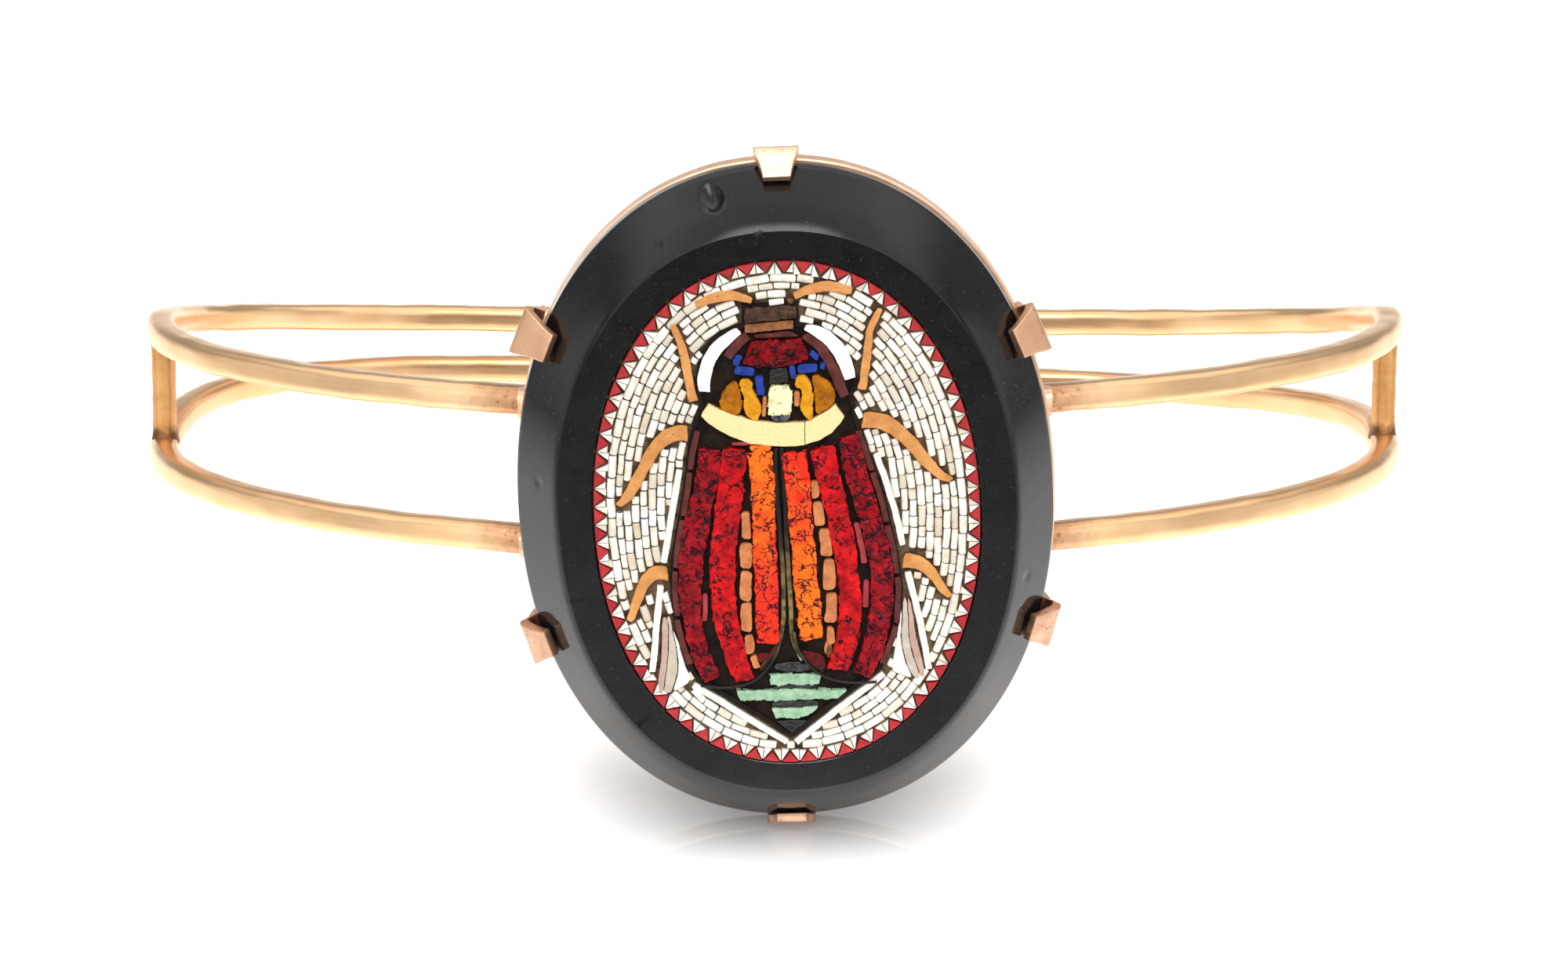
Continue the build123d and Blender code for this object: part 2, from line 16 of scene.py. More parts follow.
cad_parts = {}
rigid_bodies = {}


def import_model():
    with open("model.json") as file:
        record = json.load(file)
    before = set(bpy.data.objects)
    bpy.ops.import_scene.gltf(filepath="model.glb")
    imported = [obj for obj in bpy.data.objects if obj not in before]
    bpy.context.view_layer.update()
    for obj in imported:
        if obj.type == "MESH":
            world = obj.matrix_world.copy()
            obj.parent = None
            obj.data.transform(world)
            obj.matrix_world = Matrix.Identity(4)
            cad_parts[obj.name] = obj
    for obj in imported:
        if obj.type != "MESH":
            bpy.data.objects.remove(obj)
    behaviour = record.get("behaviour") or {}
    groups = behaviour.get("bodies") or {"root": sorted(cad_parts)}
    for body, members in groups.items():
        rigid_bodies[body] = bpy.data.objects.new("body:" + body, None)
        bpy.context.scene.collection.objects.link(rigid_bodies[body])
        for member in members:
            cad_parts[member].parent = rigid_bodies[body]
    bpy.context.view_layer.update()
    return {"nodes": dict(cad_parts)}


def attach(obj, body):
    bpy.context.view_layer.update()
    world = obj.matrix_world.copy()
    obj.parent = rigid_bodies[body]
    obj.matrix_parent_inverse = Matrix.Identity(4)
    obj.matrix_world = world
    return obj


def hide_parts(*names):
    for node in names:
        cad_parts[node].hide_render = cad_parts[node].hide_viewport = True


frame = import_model()

# %% [markdown]
# The band is easiest to think of as lying level, and the stone as a flat oval seen from the front.
# At rest the bracelet leans back on its lowest claw and its back wire. Two matrices hold that: REST
# takes the level band to its resting place, and STONE takes the oval's own plane there, with x to
# the right, y up the stone and z out of its face. Pieces are drawn in millimetres and then moved.
# Blender's vector noise starts from the clock unless it is given a number, so it gets one here.

# %% Resting place of the band and of the stone
noise.seed_set(4)
MM = 0.001
LEAN = math.radians(17.15)
STONE_TIP = math.radians(4.4)
REST = (
    Matrix.Translation(Vector((0, 4.85, 9.773)) * MM)
    @ Matrix.Rotation(-LEAN, 4, "X")
    @ Matrix.Scale(MM, 4)
)
STONE = REST @ Matrix.Translation((0, -23.5, -0.55)) @ Matrix.Rotation(math.pi / 2 + STONE_TIP, 4, "X")
print("stone faces:", (STONE.to_3x3() @ Vector((0, 0, 1))).normalized())

# %% [markdown]
# The camera stands where it stood for the photograph: in front, a little to one side and well above
# the band, with a long lens that keeps the oval free of distortion. Its place was worked out in the
# level band's frame, from the outlines of the wires and the oval, so REST carries it along.

# %% Camera
CAMERA_AWAY = 260.0
CAMERA_SIDE = math.radians(-1.26)
CAMERA_ABOVE = math.radians(12.39)
CAMERA_ROLL = math.radians(-0.09)
CAMERA_SLIDE = (0.43, -4.97)
FOCAL_PIXELS = 6464.7
PICTURE_WIDE = 2000


def aim_camera():
    level = math.cos(CAMERA_ABOVE)
    back = Vector((math.sin(CAMERA_SIDE) * level, -math.cos(CAMERA_SIDE) * level, math.sin(CAMERA_ABOVE)))
    right = (-back).cross(Vector((0, 0, 1))).normalized()
    up = back.cross(right)
    turn = Matrix.Rotation(CAMERA_ROLL, 3, -back)
    right, up = turn @ right, turn @ up
    place = back * CAMERA_AWAY + right * CAMERA_SLIDE[0] + up * CAMERA_SLIDE[1]
    pose = Matrix((right, up, back)).transposed().to_4x4()
    pose.translation = place
    world = REST @ pose
    return Matrix.LocRotScale(world.translation, world.to_3x3().normalized().to_quaternion(), None)


lens = bpy.data.cameras.new("picture_camera")
lens.sensor_width = 36.0
lens.lens = FOCAL_PIXELS * lens.sensor_width / PICTURE_WIDE
lens.clip_start, lens.clip_end = 0.01, 20.0
camera = bpy.data.objects.new("picture_camera", lens)
camera.matrix_world = aim_camera()
bpy.context.scene.collection.objects.link(camera)
bpy.context.scene.camera = camera
bpy.context.scene.view_settings.view_transform = "Standard"
print("camera at", camera.matrix_world.translation, "lens", round(lens.lens, 1))

# %% [markdown]
# Node trees are used for finishes and for repeated pieces alike. One short helper adds a node, sets
# its inputs, and links an input when it is given another node's output. A few more name the steps
# that come up again and again: a ramp, a blend of two colours, and sums of numbers or of vectors.

# %% Helpers for node trees
def feed(tree, node, inputs):
    """Gives a node its inputs: another node's output is linked, and a plain value is set."""
    for name, value in inputs.items():
        if isinstance(value, bpy.types.NodeSocket):
            tree.links.new(value, node.inputs[name])
        else:
            node.inputs[name].default_value = value


def add_node(tree, kind, inputs=None, **settings):
    made = tree.nodes.new(kind)
    for name, value in settings.items():
        setattr(made, name, value)
    feed(tree, made, inputs or {})
    return made


def grey_ramp(tree, factor, stops):
    """A ramp from rows of place and brightness or colour."""
    ramp = add_node(tree, "ShaderNodeValToRGB", {"Fac": factor})
    points = ramp.color_ramp.elements
    points.remove(points[1])
    points[0].position = stops[0][0]
    for place, _ in stops[1:]:
        points.new(place)
    for point, (_, shade) in zip(points, stops):
        point.color = (*shade, 1) if isinstance(shade, tuple) else (shade, shade, shade, 1)
    return ramp.outputs["Color"]


def blend_colours(tree, factor, first, second, way="MIX"):
    first, second = ((*colour, 1) if isinstance(colour, tuple) else colour for colour in (first, second))
    inputs = {"Factor": factor, "A": first, "B": second}
    return add_node(tree, "ShaderNodeMix", inputs, data_type="RGBA", blend_type=way).outputs["Result"]


def sum_up(tree, way, *values):
    """Adds, multiplies or compares two or more numbers."""
    total = values[0]
    for value in values[1:]:
        total = add_node(tree, "ShaderNodeMath", {0: total, 1: value}, operation=way).outputs[0]
    return total


def away_from(tree, value, middle):
    """How far a number lies from the middle, on either side."""
    shifted = sum_up(tree, "SUBTRACT", value, middle)
    return add_node(tree, "ShaderNodeMath", {0: shifted}, operation="ABSOLUTE").outputs[0]


def vector_step(tree, way, first, second=None, scale=None, gives="Vector"):
    """One step of vector maths. The second vector or the scale is left out where the way has none."""
    given = {0: first, 1: second, "Scale": scale}
    inputs = {name: value for name, value in given.items() if value is not None}
    return add_node(tree, "ShaderNodeVectorMath", inputs, operation=way).outputs[gives]


def spread_out(tree, value, start, end):
    """0 where the value is at start, 1 where it is at end, and never beyond."""
    inputs = {"Value": value, "From Min": start, "From Max": end}
    return add_node(tree, "ShaderNodeMapRange", inputs).outputs[0]


def place_object(name, data):
    """A new object in the scene, left at the origin."""
    made = bpy.data.objects.new(name, data)
    bpy.context.scene.collection.objects.link(made)
    return made


print("helpers ready")

# %% [markdown]
# The photograph has a glossy white sheet for a floor. The sheet is white round and behind the
# bracelet and a paler grey in front and far to the sides, because the polished stone mirrors those
# parts and shows them dark. It glows a little, as a lit sheet does. Close under the stone, where
# almost no light gets in, its colour and glow are darkened by a painted shade.

# %% Floor
FLOOR_HALF = 1.5
SHEET_FRONT = (-0.064, -0.040)
SHEET_SIDE, SHEET_WIDENS, SHEET_FADE = 0.110, 0.30, 0.06
FOOT_MIDDLE, FOOT_REACH = (0.0, -0.0185), (0.015, 0.008)
FLOOR_GREY, FLOOR_WHITE, FLOOR_GLOW = 0.32, 0.93, 0.45


def make_floor():
    material = bpy.data.materials.new("white_floor")
    material.use_nodes = True
    tree = material.node_tree
    shader = tree.nodes["Principled BSDF"]
    place = add_node(tree, "ShaderNodeTexCoord").outputs["Object"]
    part = add_node(tree, "ShaderNodeSeparateXYZ", {"Vector": place}).outputs
    front = spread_out(tree, part["Y"], *SHEET_FRONT)
    across = away_from(tree, part["X"], 0.0)
    widening = sum_up(tree, "MULTIPLY", part["Y"], SHEET_WIDENS)
    room_left = sum_up(tree, "SUBTRACT", sum_up(tree, "ADD", widening, SHEET_SIDE), across)
    sheet = sum_up(tree, "MINIMUM", front, spread_out(tree, room_left, 0.0, SHEET_FADE))
    from_foot = vector_step(tree, "SUBTRACT", place, (*FOOT_MIDDLE, 0))
    from_foot = vector_step(tree, "DIVIDE", from_foot, (*FOOT_REACH, 1))
    from_foot = vector_step(tree, "LENGTH", from_foot, gives="Value")
    # Painted shade: the sheet's colour and glow darken close under the stone's foot.
    painted_shade_under_stone = grey_ramp(tree, from_foot, [(0.2, 0.2), (1.0, 1.0)])
    shade = grey_ramp(tree, sheet, [(0.0, FLOOR_GREY), (1.0, FLOOR_WHITE)])
    glow = grey_ramp(tree, sheet, [(0.0, 0.0), (1.0, 1.0)])
    feed(tree, shader, {
        "Base Color": blend_colours(tree, 1.0, shade, painted_shade_under_stone, "MULTIPLY"),
        "Emission Color": blend_colours(tree, 1.0, glow, painted_shade_under_stone, "MULTIPLY"),
        "Emission Strength": FLOOR_GLOW, "Roughness": 0.05, "IOR": 1.9,
    })
    corners = [(-1, -1), (1, -1), (1, 1), (-1, 1)]
    mesh = bpy.data.meshes.new("floor")
    mesh.from_pydata([(x * FLOOR_HALF, y * FLOOR_HALF, 0) for x, y in corners], [], [(0, 1, 2, 3)])
    mesh.materials.append(material)
    floor = place_object("floor", mesh)
    print("floor", FLOOR_HALF * 2, "m")


make_floor()

# %% [markdown]
# All the light comes from a soft room, painted by direction: x to the right, y away from the camera
# and z up. Its parts were worked out from what the bevel mirrors in the photograph. The ceiling is
# bright and the walls are dim. A strong soft box hangs above the camera and shows as the glow at the
# top of the bevel. Two wide ones stand in front, left and right, and brighten the gold wires, and a
# white card at either end brightens the bends of the wires.

# %% Room
SOFT_BOX, FRONT_WALL, SIDE_BOXES, SIDE_CARDS = 4.5, 0.8, 0.75, 0.65


def by_direction(tree, part, stops):
    """Brightness by one part of the direction, from -1 to 1, eased between its stops."""
    place = spread_out(tree, part, -1, 1)
    ramp = grey_ramp(tree, place, [((stop + 1) / 2, shade) for stop, shade in stops])
    ramp.node.color_ramp.interpolation = "EASE"
    return ramp


def make_room():
    world = bpy.data.worlds.new("room")
    bpy.context.scene.world = world
    world.use_nodes = True
    tree = world.node_tree
    toward = add_node(tree, "ShaderNodeTexCoord").outputs["Generated"]
    part = add_node(tree, "ShaderNodeSeparateXYZ", {"Vector": toward}).outputs
    across, away, up = part["X"], part["Y"], part["Z"]
    walls = by_direction(tree, up, [(-0.03, 0.22), (0.03, 0.32), (0.4, 0.42), (0.72, 1.4), (1.0, 1.0)])
    soft_box = sum_up(
        tree, "MULTIPLY", SOFT_BOX,
        by_direction(tree, across, [(-0.36, 0.0), (-0.14, 1.0), (0.14, 1.0), (0.36, 0.0)]),
        by_direction(tree, away, [(-0.74, 0.0), (-0.56, 1.0), (-0.44, 1.0), (0.04, 0.0)]),
        by_direction(tree, up, [(0.3, 0.0), (0.6, 1.0)]),
    )
    front_wall = sum_up(
        tree, "MULTIPLY", FRONT_WALL,
        by_direction(tree, away, [(-0.75, 1.0), (-0.5, 0.0)]),
        by_direction(tree, up, [(0.05, 0.0), (0.12, 1.0), (0.5, 1.0), (0.7, 0.0)]),
    )
    left_box = [(-0.92, 0.0), (-0.8, 1.0), (-0.5, 1.0), (-0.35, 0.0)]
    right_box = [(-stop, shade) for stop, shade in reversed(left_box)]
    side_boxes = sum_up(
        tree, "MULTIPLY", SIDE_BOXES,
        by_direction(tree, across, left_box + right_box),
        by_direction(tree, away, [(-0.5, 1.0), (-0.3, 0.0)]),
        by_direction(tree, up, [(-0.05, 0.0), (0.0, 1.0), (0.45, 1.0), (0.6, 0.0)]),
    )
    side_cards = sum_up(
        tree, "MULTIPLY", SIDE_CARDS,
        by_direction(tree, across, [(-0.96, 1.0), (-0.9, 0.0), (0.9, 0.0), (0.96, 1.0)]),
    )
    light = sum_up(tree, "ADD", walls, soft_box, front_wall, side_boxes, side_cards)
    feed(tree, tree.nodes["Background"], {"Color": light, "Strength": 1.0})


make_room()
print("room made, soft box", SOFT_BOX)

# %% [markdown]
# Every finish is built from nodes and reads the piece's own place in millimetres, so its grain has
# a real size. A finish has three layers: a slow change of tone, small specks or pits, and a bump
# that makes the same pits catch the light.

# %% Building blocks of a finish
def start_finish(name):
    material = bpy.data.materials.new(name)
    material.use_nodes = True
    tree = material.node_tree
    place = add_node(tree, "ShaderNodeTexCoord").outputs["Object"]
    millimetres = vector_step(tree, "SCALE", place, scale=1 / MM)
    return material, tree, tree.nodes["Principled BSDF"], millimetres


def cloudy(tree, where, size, detail=3.0, rough=0.55, twist=0.0):
    return add_node(
        tree, "ShaderNodeTexNoise",
        {"Vector": where, "Scale": 1 / size, "Detail": detail, "Roughness": rough, "Distortion": twist},
    ).outputs["Fac"]


def tone_of(tree, name):
    """The number that a piece's points carry under a name."""
    return add_node(tree, "ShaderNodeAttribute", attribute_name=name).outputs["Fac"]


def dent(tree, shader, height, depth, strength, before=None):
    """Bumps a finish, on top of the bump before. Depth is in millimetres."""
    inputs = {"Height": height, "Distance": depth * MM, "Strength": strength}
    if before is not None:
        inputs["Normal"] = before
    bumped = add_node(tree, "ShaderNodeBump", inputs).outputs["Normal"]
    feed(tree, shader, {"Normal": bumped})
    return bumped


print("finish helpers ready")

# %% [markdown]
# The gold is old and has been worn: its colour is even, but its shine is broken by fine scratches
# that run mostly along the wire, and it reddens to a coppery pink where it was soldered. The wires
# carry a map of their length and their girth, so that the scratches follow them round the wrist.

# %% Gold of the wires
GOLD = (0.86, 0.54, 0.272)
PALE_GOLD = (0.90, 0.60, 0.34)
ROSE = (0.55, 0.28, 0.15)
BURNT = (0.16, 0.07, 0.04)
WIRE_MIDDLE, SOLDERED_FROM = 74.9, 70.9
SOLDER_RAGGED, SOLDER_FADES = 2.0, 2.6


def wire_gold():
    material, tree, shader, where = start_finish("worn_gold")
    path = add_node(tree, "ShaderNodeUVMap", uv_map="along_wire").outputs["UV"]
    long_grain = add_node(tree, "ShaderNodeMapping", {"Vector": path, "Scale": (0.25, 60, 1)})
    grain = cloudy(tree, long_grain.outputs[0], 1.0, 5, 0.6)
    tone = grey_ramp(tree, cloudy(tree, where, 3.0), [(0.35, GOLD), (0.65, PALE_GOLD)])
    length = add_node(tree, "ShaderNodeSeparateXYZ", {"Vector": path}).outputs["X"]
    uneven = sum_up(tree, "MULTIPLY", cloudy(tree, where, 0.5), SOLDER_RAGGED)
    ragged = sum_up(tree, "ADD", away_from(tree, length, WIRE_MIDDLE), uneven)
    soldered = spread_out(tree, ragged, SOLDERED_FROM, SOLDERED_FROM + SOLDER_FADES)
    burnt = grey_ramp(tree, cloudy(tree, where, 0.28, 4), [(0.56, 0.0), (0.70, 0.7)])
    colour = blend_colours(tree, soldered, tone, ROSE)
    colour = blend_colours(tree, sum_up(tree, "MULTIPLY", burnt, soldered), colour, BURNT)
    nicks = grey_ramp(tree, cloudy(tree, where, 0.16, 2), [(0.76, 0.0), (0.8, 0.7)])
    shine = grey_ramp(tree, grain, [(0.3, 0.27), (0.7, 0.36)])
    colour = blend_colours(tree, nicks, colour, BURNT)
    feed(tree, shader, {"Base Color": colour, "Metallic": 1.0, "Roughness": shine})
    first = dent(tree, shader, grain, 0.004, 0.4)
    dent(tree, shader, cloudy(tree, where, 0.7, 4), 0.02, 0.35, first)
    return material


WORN_GOLD = wire_gold()
print(WORN_GOLD.name, "made")

# %% [markdown]
# Each hoop is one soft-square wire. Its route is a flattened oval that goes from one side of the
# plaque, round the back of the wrist, to the other side. The upper and the lower hoop stand apart
# in front and come together at the back, where both sink a little. The same rule as in the solid
# gives the points, and Geometry Nodes sweep the section along them and write the map of the wire.

# %% Route of a hoop
HALF_WIDE, FRONT_REACH, BACK_REACH = 31.3, 22.5, 19.5
FRONT_ROUND, BACK_ROUND = 1.95, 2.8
FRONT_SPREAD, SIDE_SPREAD, BACK_SPREAD = 3.37, 3.23, 1.45
BACK_DROP, BACK_CLOSES = 1.84, 0.58
BACK_TWIST = {1: 0.4, -1: 1.2}
WIRE_END = 10.24


def square_reach(c, s, roundness):
    """How far a rounded square of half width 1 reaches toward c, s. It is a circle at roundness 2."""
    return (abs(c) ** roundness + abs(s) ** roundness) ** (-1 / roundness)


def hoop_point(turn, side):
    """A point of the upper hoop, side 1, or of the lower, side -1."""
    c, s = math.cos(turn), math.sin(turn)
    at_back = s > 0
    reach, roundness = (BACK_REACH, BACK_ROUND) if at_back else (FRONT_REACH, FRONT_ROUND)
    radius = square_reach(c / HALF_WIDE, s / reach, roundness)
    x, y = radius * c, radius * s
    share = abs(y / reach) ** (roundness / 2)
    if not at_back:
        return Vector((x, y, side * (SIDE_SPREAD + (FRONT_SPREAD - SIDE_SPREAD) * share)))
    spread = SIDE_SPREAD + (BACK_SPREAD - SIDE_SPREAD) * share**BACK_CLOSES
    sideways = (abs(x) / HALF_WIDE) ** (roundness / 2) * (1 if x > 0 else -1)
    return Vector((x, y, side * spread - BACK_DROP * share - BACK_TWIST[side] * sideways * share))


def hoop_route(side, count):
    across = (WIRE_END / HALF_WIDE) ** FRONT_ROUND
    end = math.atan2(FRONT_REACH * (1 - across) ** (1 / FRONT_ROUND), WIRE_END)
    step = (math.pi + 2 * end) / (count - 1)
    return [hoop_point(step * i - end, side) for i in range(count)]


print("hoop ends at", hoop_route(1, 3)[0])

# %% [markdown]
# Geometry Nodes make what is swept or repeated. A tree has named sizes, which are set on the object
# that runs it, and it ends in real geometry with its material. The result is then kept as a plain
# mesh, so nothing has to be worked out again when the scene is opened.

# %% Geometry Nodes helpers
def start_tree(name, sizes):
    """A Geometry Nodes tree with named number inputs. Gives the tree and its input node."""
    tree = bpy.data.node_groups.new(name, "GeometryNodeTree")
    tree.interface.new_socket("Geometry", in_out="INPUT", socket_type="NodeSocketGeometry")
    for size, value in sizes.items():
        socket = tree.interface.new_socket(size, in_out="INPUT", socket_type="NodeSocketFloat")
        socket.default_value = value
    tree.interface.new_socket("Geometry", in_out="OUTPUT", socket_type="NodeSocketGeometry")
    return tree, tree.nodes.new("NodeGroupInput")


def end_tree(tree, geometry, material):
    """Ends a tree: real geometry in place of instances, then its material."""
    real = add_node(tree, "GeometryNodeRealizeInstances", {"Geometry": geometry})
    shown = add_node(tree, "GeometryNodeSetMaterial", {"Geometry": real.outputs[0], "Material": material})
    tree.links.new(shown.outputs[0], tree.nodes.new("NodeGroupOutput").inputs[0])


def put_tree(made, tree, sizes):
    """Puts a tree on an object and sets the tree's named sizes."""
    modifier = made.modifiers.new("shape", "NODES")
    modifier.node_group = tree
    for item in tree.interface.items_tree:
        if item.item_type == "SOCKET" and item.in_out == "INPUT" and item.name in sizes:
            modifier[item.identifier] = sizes[item.name]


def plain_mesh(made):
    """The mesh that an object's modifiers make."""
    return bpy.data.meshes.new_from_object(made.evaluated_get(bpy.context.evaluated_depsgraph_get()))


def run_tree(name, start, tree, sizes, matrix):
    """Runs a tree on an object and keeps the result as a plain mesh, put in place by the matrix."""
    put_tree(start, tree, sizes)
    mesh = plain_mesh(start)
    bpy.data.objects.remove(start)
    mesh.transform(matrix)
    mesh.name = name
    print(name, len(mesh.polygons), "faces")
    return place_object(name, mesh)


def named(tree, name):
    return add_node(tree, "GeometryNodeInputNamedAttribute", {"Name": name}, data_type="FLOAT").outputs[0]


def waver(tree, geometry, amount, scale):
    """Moves every point a little by a noise that belongs to its place, and shades smoothly."""
    wave = add_node(tree, "ShaderNodeTexNoise", {"Scale": scale, "Detail": 2.0}).outputs["Color"]
    centred = vector_step(tree, "SUBTRACT", wave, (0.5, 0.5, 0.5))
    scaled = vector_step(tree, "SCALE", centred, scale=amount)
    moved = add_node(tree, "GeometryNodeSetPosition", {"Geometry": geometry, "Offset": scaled})
    return add_node(tree, "GeometryNodeSetShadeSmooth", {"Geometry": moved.outputs[0]}).outputs[0]


print("tree helpers ready")

# %% [markdown]
# The tree of the wire sets points at even steps along the route and sweeps a soft square along it.
# It keeps the length of the route and the place round the section as a map, which the finish reads.
# A slight waver at the end takes away the look of a drawn line.

# %% Tree that sweeps a soft-square wire
def wire_section(roundness=3.3, count=44):
    """A soft square one unit across, its four sides a little crowned."""
    curve = bpy.data.curves.new("wire_section", "CURVE")
    curve.dimensions = "3D"
    spline = curve.splines.new("POLY")
    spline.points.add(count - 1)
    spline.use_cyclic_u = True
    for i, point in enumerate(spline.points):
        c, s = math.cos(2 * math.pi * i / count), math.sin(2 * math.pi * i / count)
        reach = 0.5 * square_reach(c, s, roundness)
        point.co = (reach * c, reach * s, 0, 1)
    return place_object("wire_section", curve)


def keep_number(tree, geometry, name, value):
    """Keeps a number with the points it belongs to. Gives the geometry and the kept number."""
    kept = tree.nodes.new("GeometryNodeCaptureAttribute")
    kept.capture_items.new("FLOAT", name)
    tree.links.new(geometry, kept.inputs["Geometry"])
    tree.links.new(value, kept.inputs[1])
    return kept.outputs[0], kept.outputs[1]


def wire_tree(section, step, metal):
    tree, given = start_tree("swept_wire", {"Tall": 1.38, "Deep": 1.4, "Waver": 0.02})
    route = {"Curve": given.outputs["Geometry"], "Length": step}
    route = add_node(tree, "GeometryNodeResampleCurve", route, mode="LENGTH").outputs[0]
    upright = add_node(tree, "GeometryNodeSetCurveNormal", {"Curve": route}, mode="Z_UP").outputs[0]
    along = add_node(tree, "GeometryNodeSplineParameter").outputs
    path, length = keep_number(tree, upright, "length", along["Length"])
    shape = add_node(tree, "GeometryNodeObjectInfo", {"Object": section}).outputs["Geometry"]
    size = {"X": given.outputs["Deep"], "Y": given.outputs["Tall"], "Z": 1.0}
    size = add_node(tree, "ShaderNodeCombineXYZ", size).outputs[0]
    sized = add_node(tree, "GeometryNodeTransform", {"Geometry": shape, "Scale": size}).outputs[0]
    outline, girth = keep_number(tree, sized, "girth", along["Factor"])
    swept = {"Curve": path, "Profile Curve": outline, "Fill Caps": True}
    swept = add_node(tree, "GeometryNodeCurveToMesh", swept)
    both = add_node(tree, "ShaderNodeCombineXYZ", {"X": length, "Y": girth})
    mapped = add_node(
        tree, "GeometryNodeStoreNamedAttribute",
        {"Geometry": swept.outputs[0], "Name": "along_wire", "Value": both.outputs[0]},
        data_type="FLOAT2", domain="CORNER",
    )
    end_tree(tree, waver(tree, mapped.outputs[0], given.outputs["Waver"], 0.35), metal)
    return tree


def route_curve(points):
    curve = bpy.data.curves.new("wire_route", "CURVE")
    curve.dimensions = "3D"
    spline = curve.splines.new("POLY")
    spline.points.add(len(points) - 1)
    for point, place in zip(spline.points, points):
        point.co = (*place, 1)
    return place_object("wire_route", curve)


section = wire_section()
HOOP_TREE = wire_tree(section, 0.4, WORN_GOLD)
hoops = [
    run_tree(name, route_curve(hoop_route(side, 240)), HOOP_TREE, {"Waver": 0.16}, REST)
    for name, side in (("upper_hoop", 1), ("lower_hoop", -1))
]
bpy.data.objects.remove(section)

# %% [markdown]
# Small pieces are made as plain meshes. One helper turns points and faces into an object whose place
# is in its mesh, merges doubled points, points the faces outwards and keeps sharp edges sharp.

# %% Helper for plain meshes
def make_piece(name, points, faces, matrix, material, sharp, bevel=0.0):
    mesh = bpy.data.meshes.new(name)
    shape = bmesh.new()
    corners = [shape.verts.new(point) for point in points]
    for face in faces:
        shape.faces.new([corners[i] for i in face])
    bmesh.ops.remove_doubles(shape, verts=shape.verts, dist=1e-5)
    bmesh.ops.recalc_face_normals(shape, faces=shape.faces)
    shape.to_mesh(mesh)
    shape.free()
    mesh.materials.append(material)
    made = place_object(name, mesh)
    if bevel:
        soften(made, bevel)
    made.data.transform(matrix)
    smooth_piece(made, sharp)
    print(name, len(made.data.polygons), "faces")
    return made


def soften(made, width):
    """Rounds the edges of an object and keeps the result as its plain mesh."""
    modifier = made.modifiers.new("soft_edges", "BEVEL")
    modifier.width, modifier.segments = width, 3
    modifier.limit_method, modifier.angle_limit = "ANGLE", math.radians(30)
    mesh = plain_mesh(made)
    made.modifiers.clear()
    made.data = mesh


def smooth_piece(made, sharp):
    made.data.polygons.foreach_set("use_smooth", [True] * len(made.data.polygons))
    made.data.set_sharp_from_angle(angle=math.radians(sharp))


def rings_to_faces(rows, count, closed_ends=True):
    """Faces between rings of the same count of points, and over the two end rings."""
    faces = []
    for row in range(rows - 1):
        for i in range(count):
            here, after = row * count, (row + 1) * count
            j = (i + 1) % count
            faces.append((here + i, here + j, after + j, after + i))
    if closed_ends:
        faces.append(tuple(range(count)))
        faces.append(tuple((rows - 1) * count + i for i in range(count)))
    return faces


def tube_to_faces(rows, count):
    """Faces of a closed tube of rings, whose last ring joins the first."""
    last = (rows - 1) * count
    faces = rings_to_faces(rows, count, closed_ends=False)
    return faces + [(last + i, last + (i + 1) % count, (i + 1) % count, i) for i in range(count)]


print("mesh helpers ready")

# %% [markdown]
# Solder is older and dirtier than the wire: it is redder, pitted, and has burnt dark spots where the
# torch touched it. The claws are cut from rose-gold sheet, so they are pinker than the wires and
# have straight filing marks and small nicks. Three copies of the rose gold carry painted light and
# shade: a lighter one for the top claw, a darker one for the upper claws and a darker still for the
# lower and bottom claws.

# %% Rose gold of the claws and the frame, and burnt gold of the posts
def keep_on_points(mesh, name, values):
    """Keeps a number on every point of a mesh, for a finish or a tree to read."""
    mesh.attributes.new(name, "FLOAT", "POINT").data.foreach_set("value", values)


def burn_points(made, rule):
    """Darkens a part of the level band, 0 to 1, by the place of each point before REST moved it."""
    back = REST.inverted()
    keep_on_points(made.data, "burnt", [rule(back @ point.co) for point in made.data.vertices])


def sheet_gold(name, light, deep, spots_from, grain_turn):
    """Filed sheet gold. It darkens where the attribute burnt says that the torch touched it."""
    material, tree, shader, where = start_finish(name)
    filed = {"Vector": where, "Rotation": (0, grain_turn, 0), "Scale": (1, 1, 9)}
    grain = cloudy(tree, add_node(tree, "ShaderNodeMapping", filed).outputs[0], 1.2, 5, 0.7)
    tone = grey_ramp(tree, cloudy(tree, where, 1.1), [(0.3, deep), (0.7, light)])
    torch = sum_up(tree, "ADD", tone_of(tree, "burnt"), cloudy(tree, where, 0.4, 4))
    torch = spread_out(tree, torch, 0.85, 1.3)
    spots = [(spots_from, 0.0), (spots_from + 0.08, 0.75)]
    spots = grey_ramp(tree, cloudy(tree, where, 0.3, 5, 0.65), spots)
    colour = blend_colours(tree, spots, tone, (0.34, 0.15, 0.07))
    colour = blend_colours(tree, torch, colour, (0.20, 0.09, 0.04))
    shine = grey_ramp(tree, grain, [(0.3, 0.36), (0.7, 0.52)])
    feed(tree, shader, {"Base Color": colour, "Metallic": 1.0, "Roughness": shine})
    first = dent(tree, shader, grain, 0.012, 0.4)
    dent(tree, shader, cloudy(tree, where, 0.4, 4), 0.05, 0.5, first)
    return material


ROSE_GOLD = sheet_gold("rose_gold", (0.98, 0.68, 0.48), (0.88, 0.56, 0.37), 0.64, 0.5)
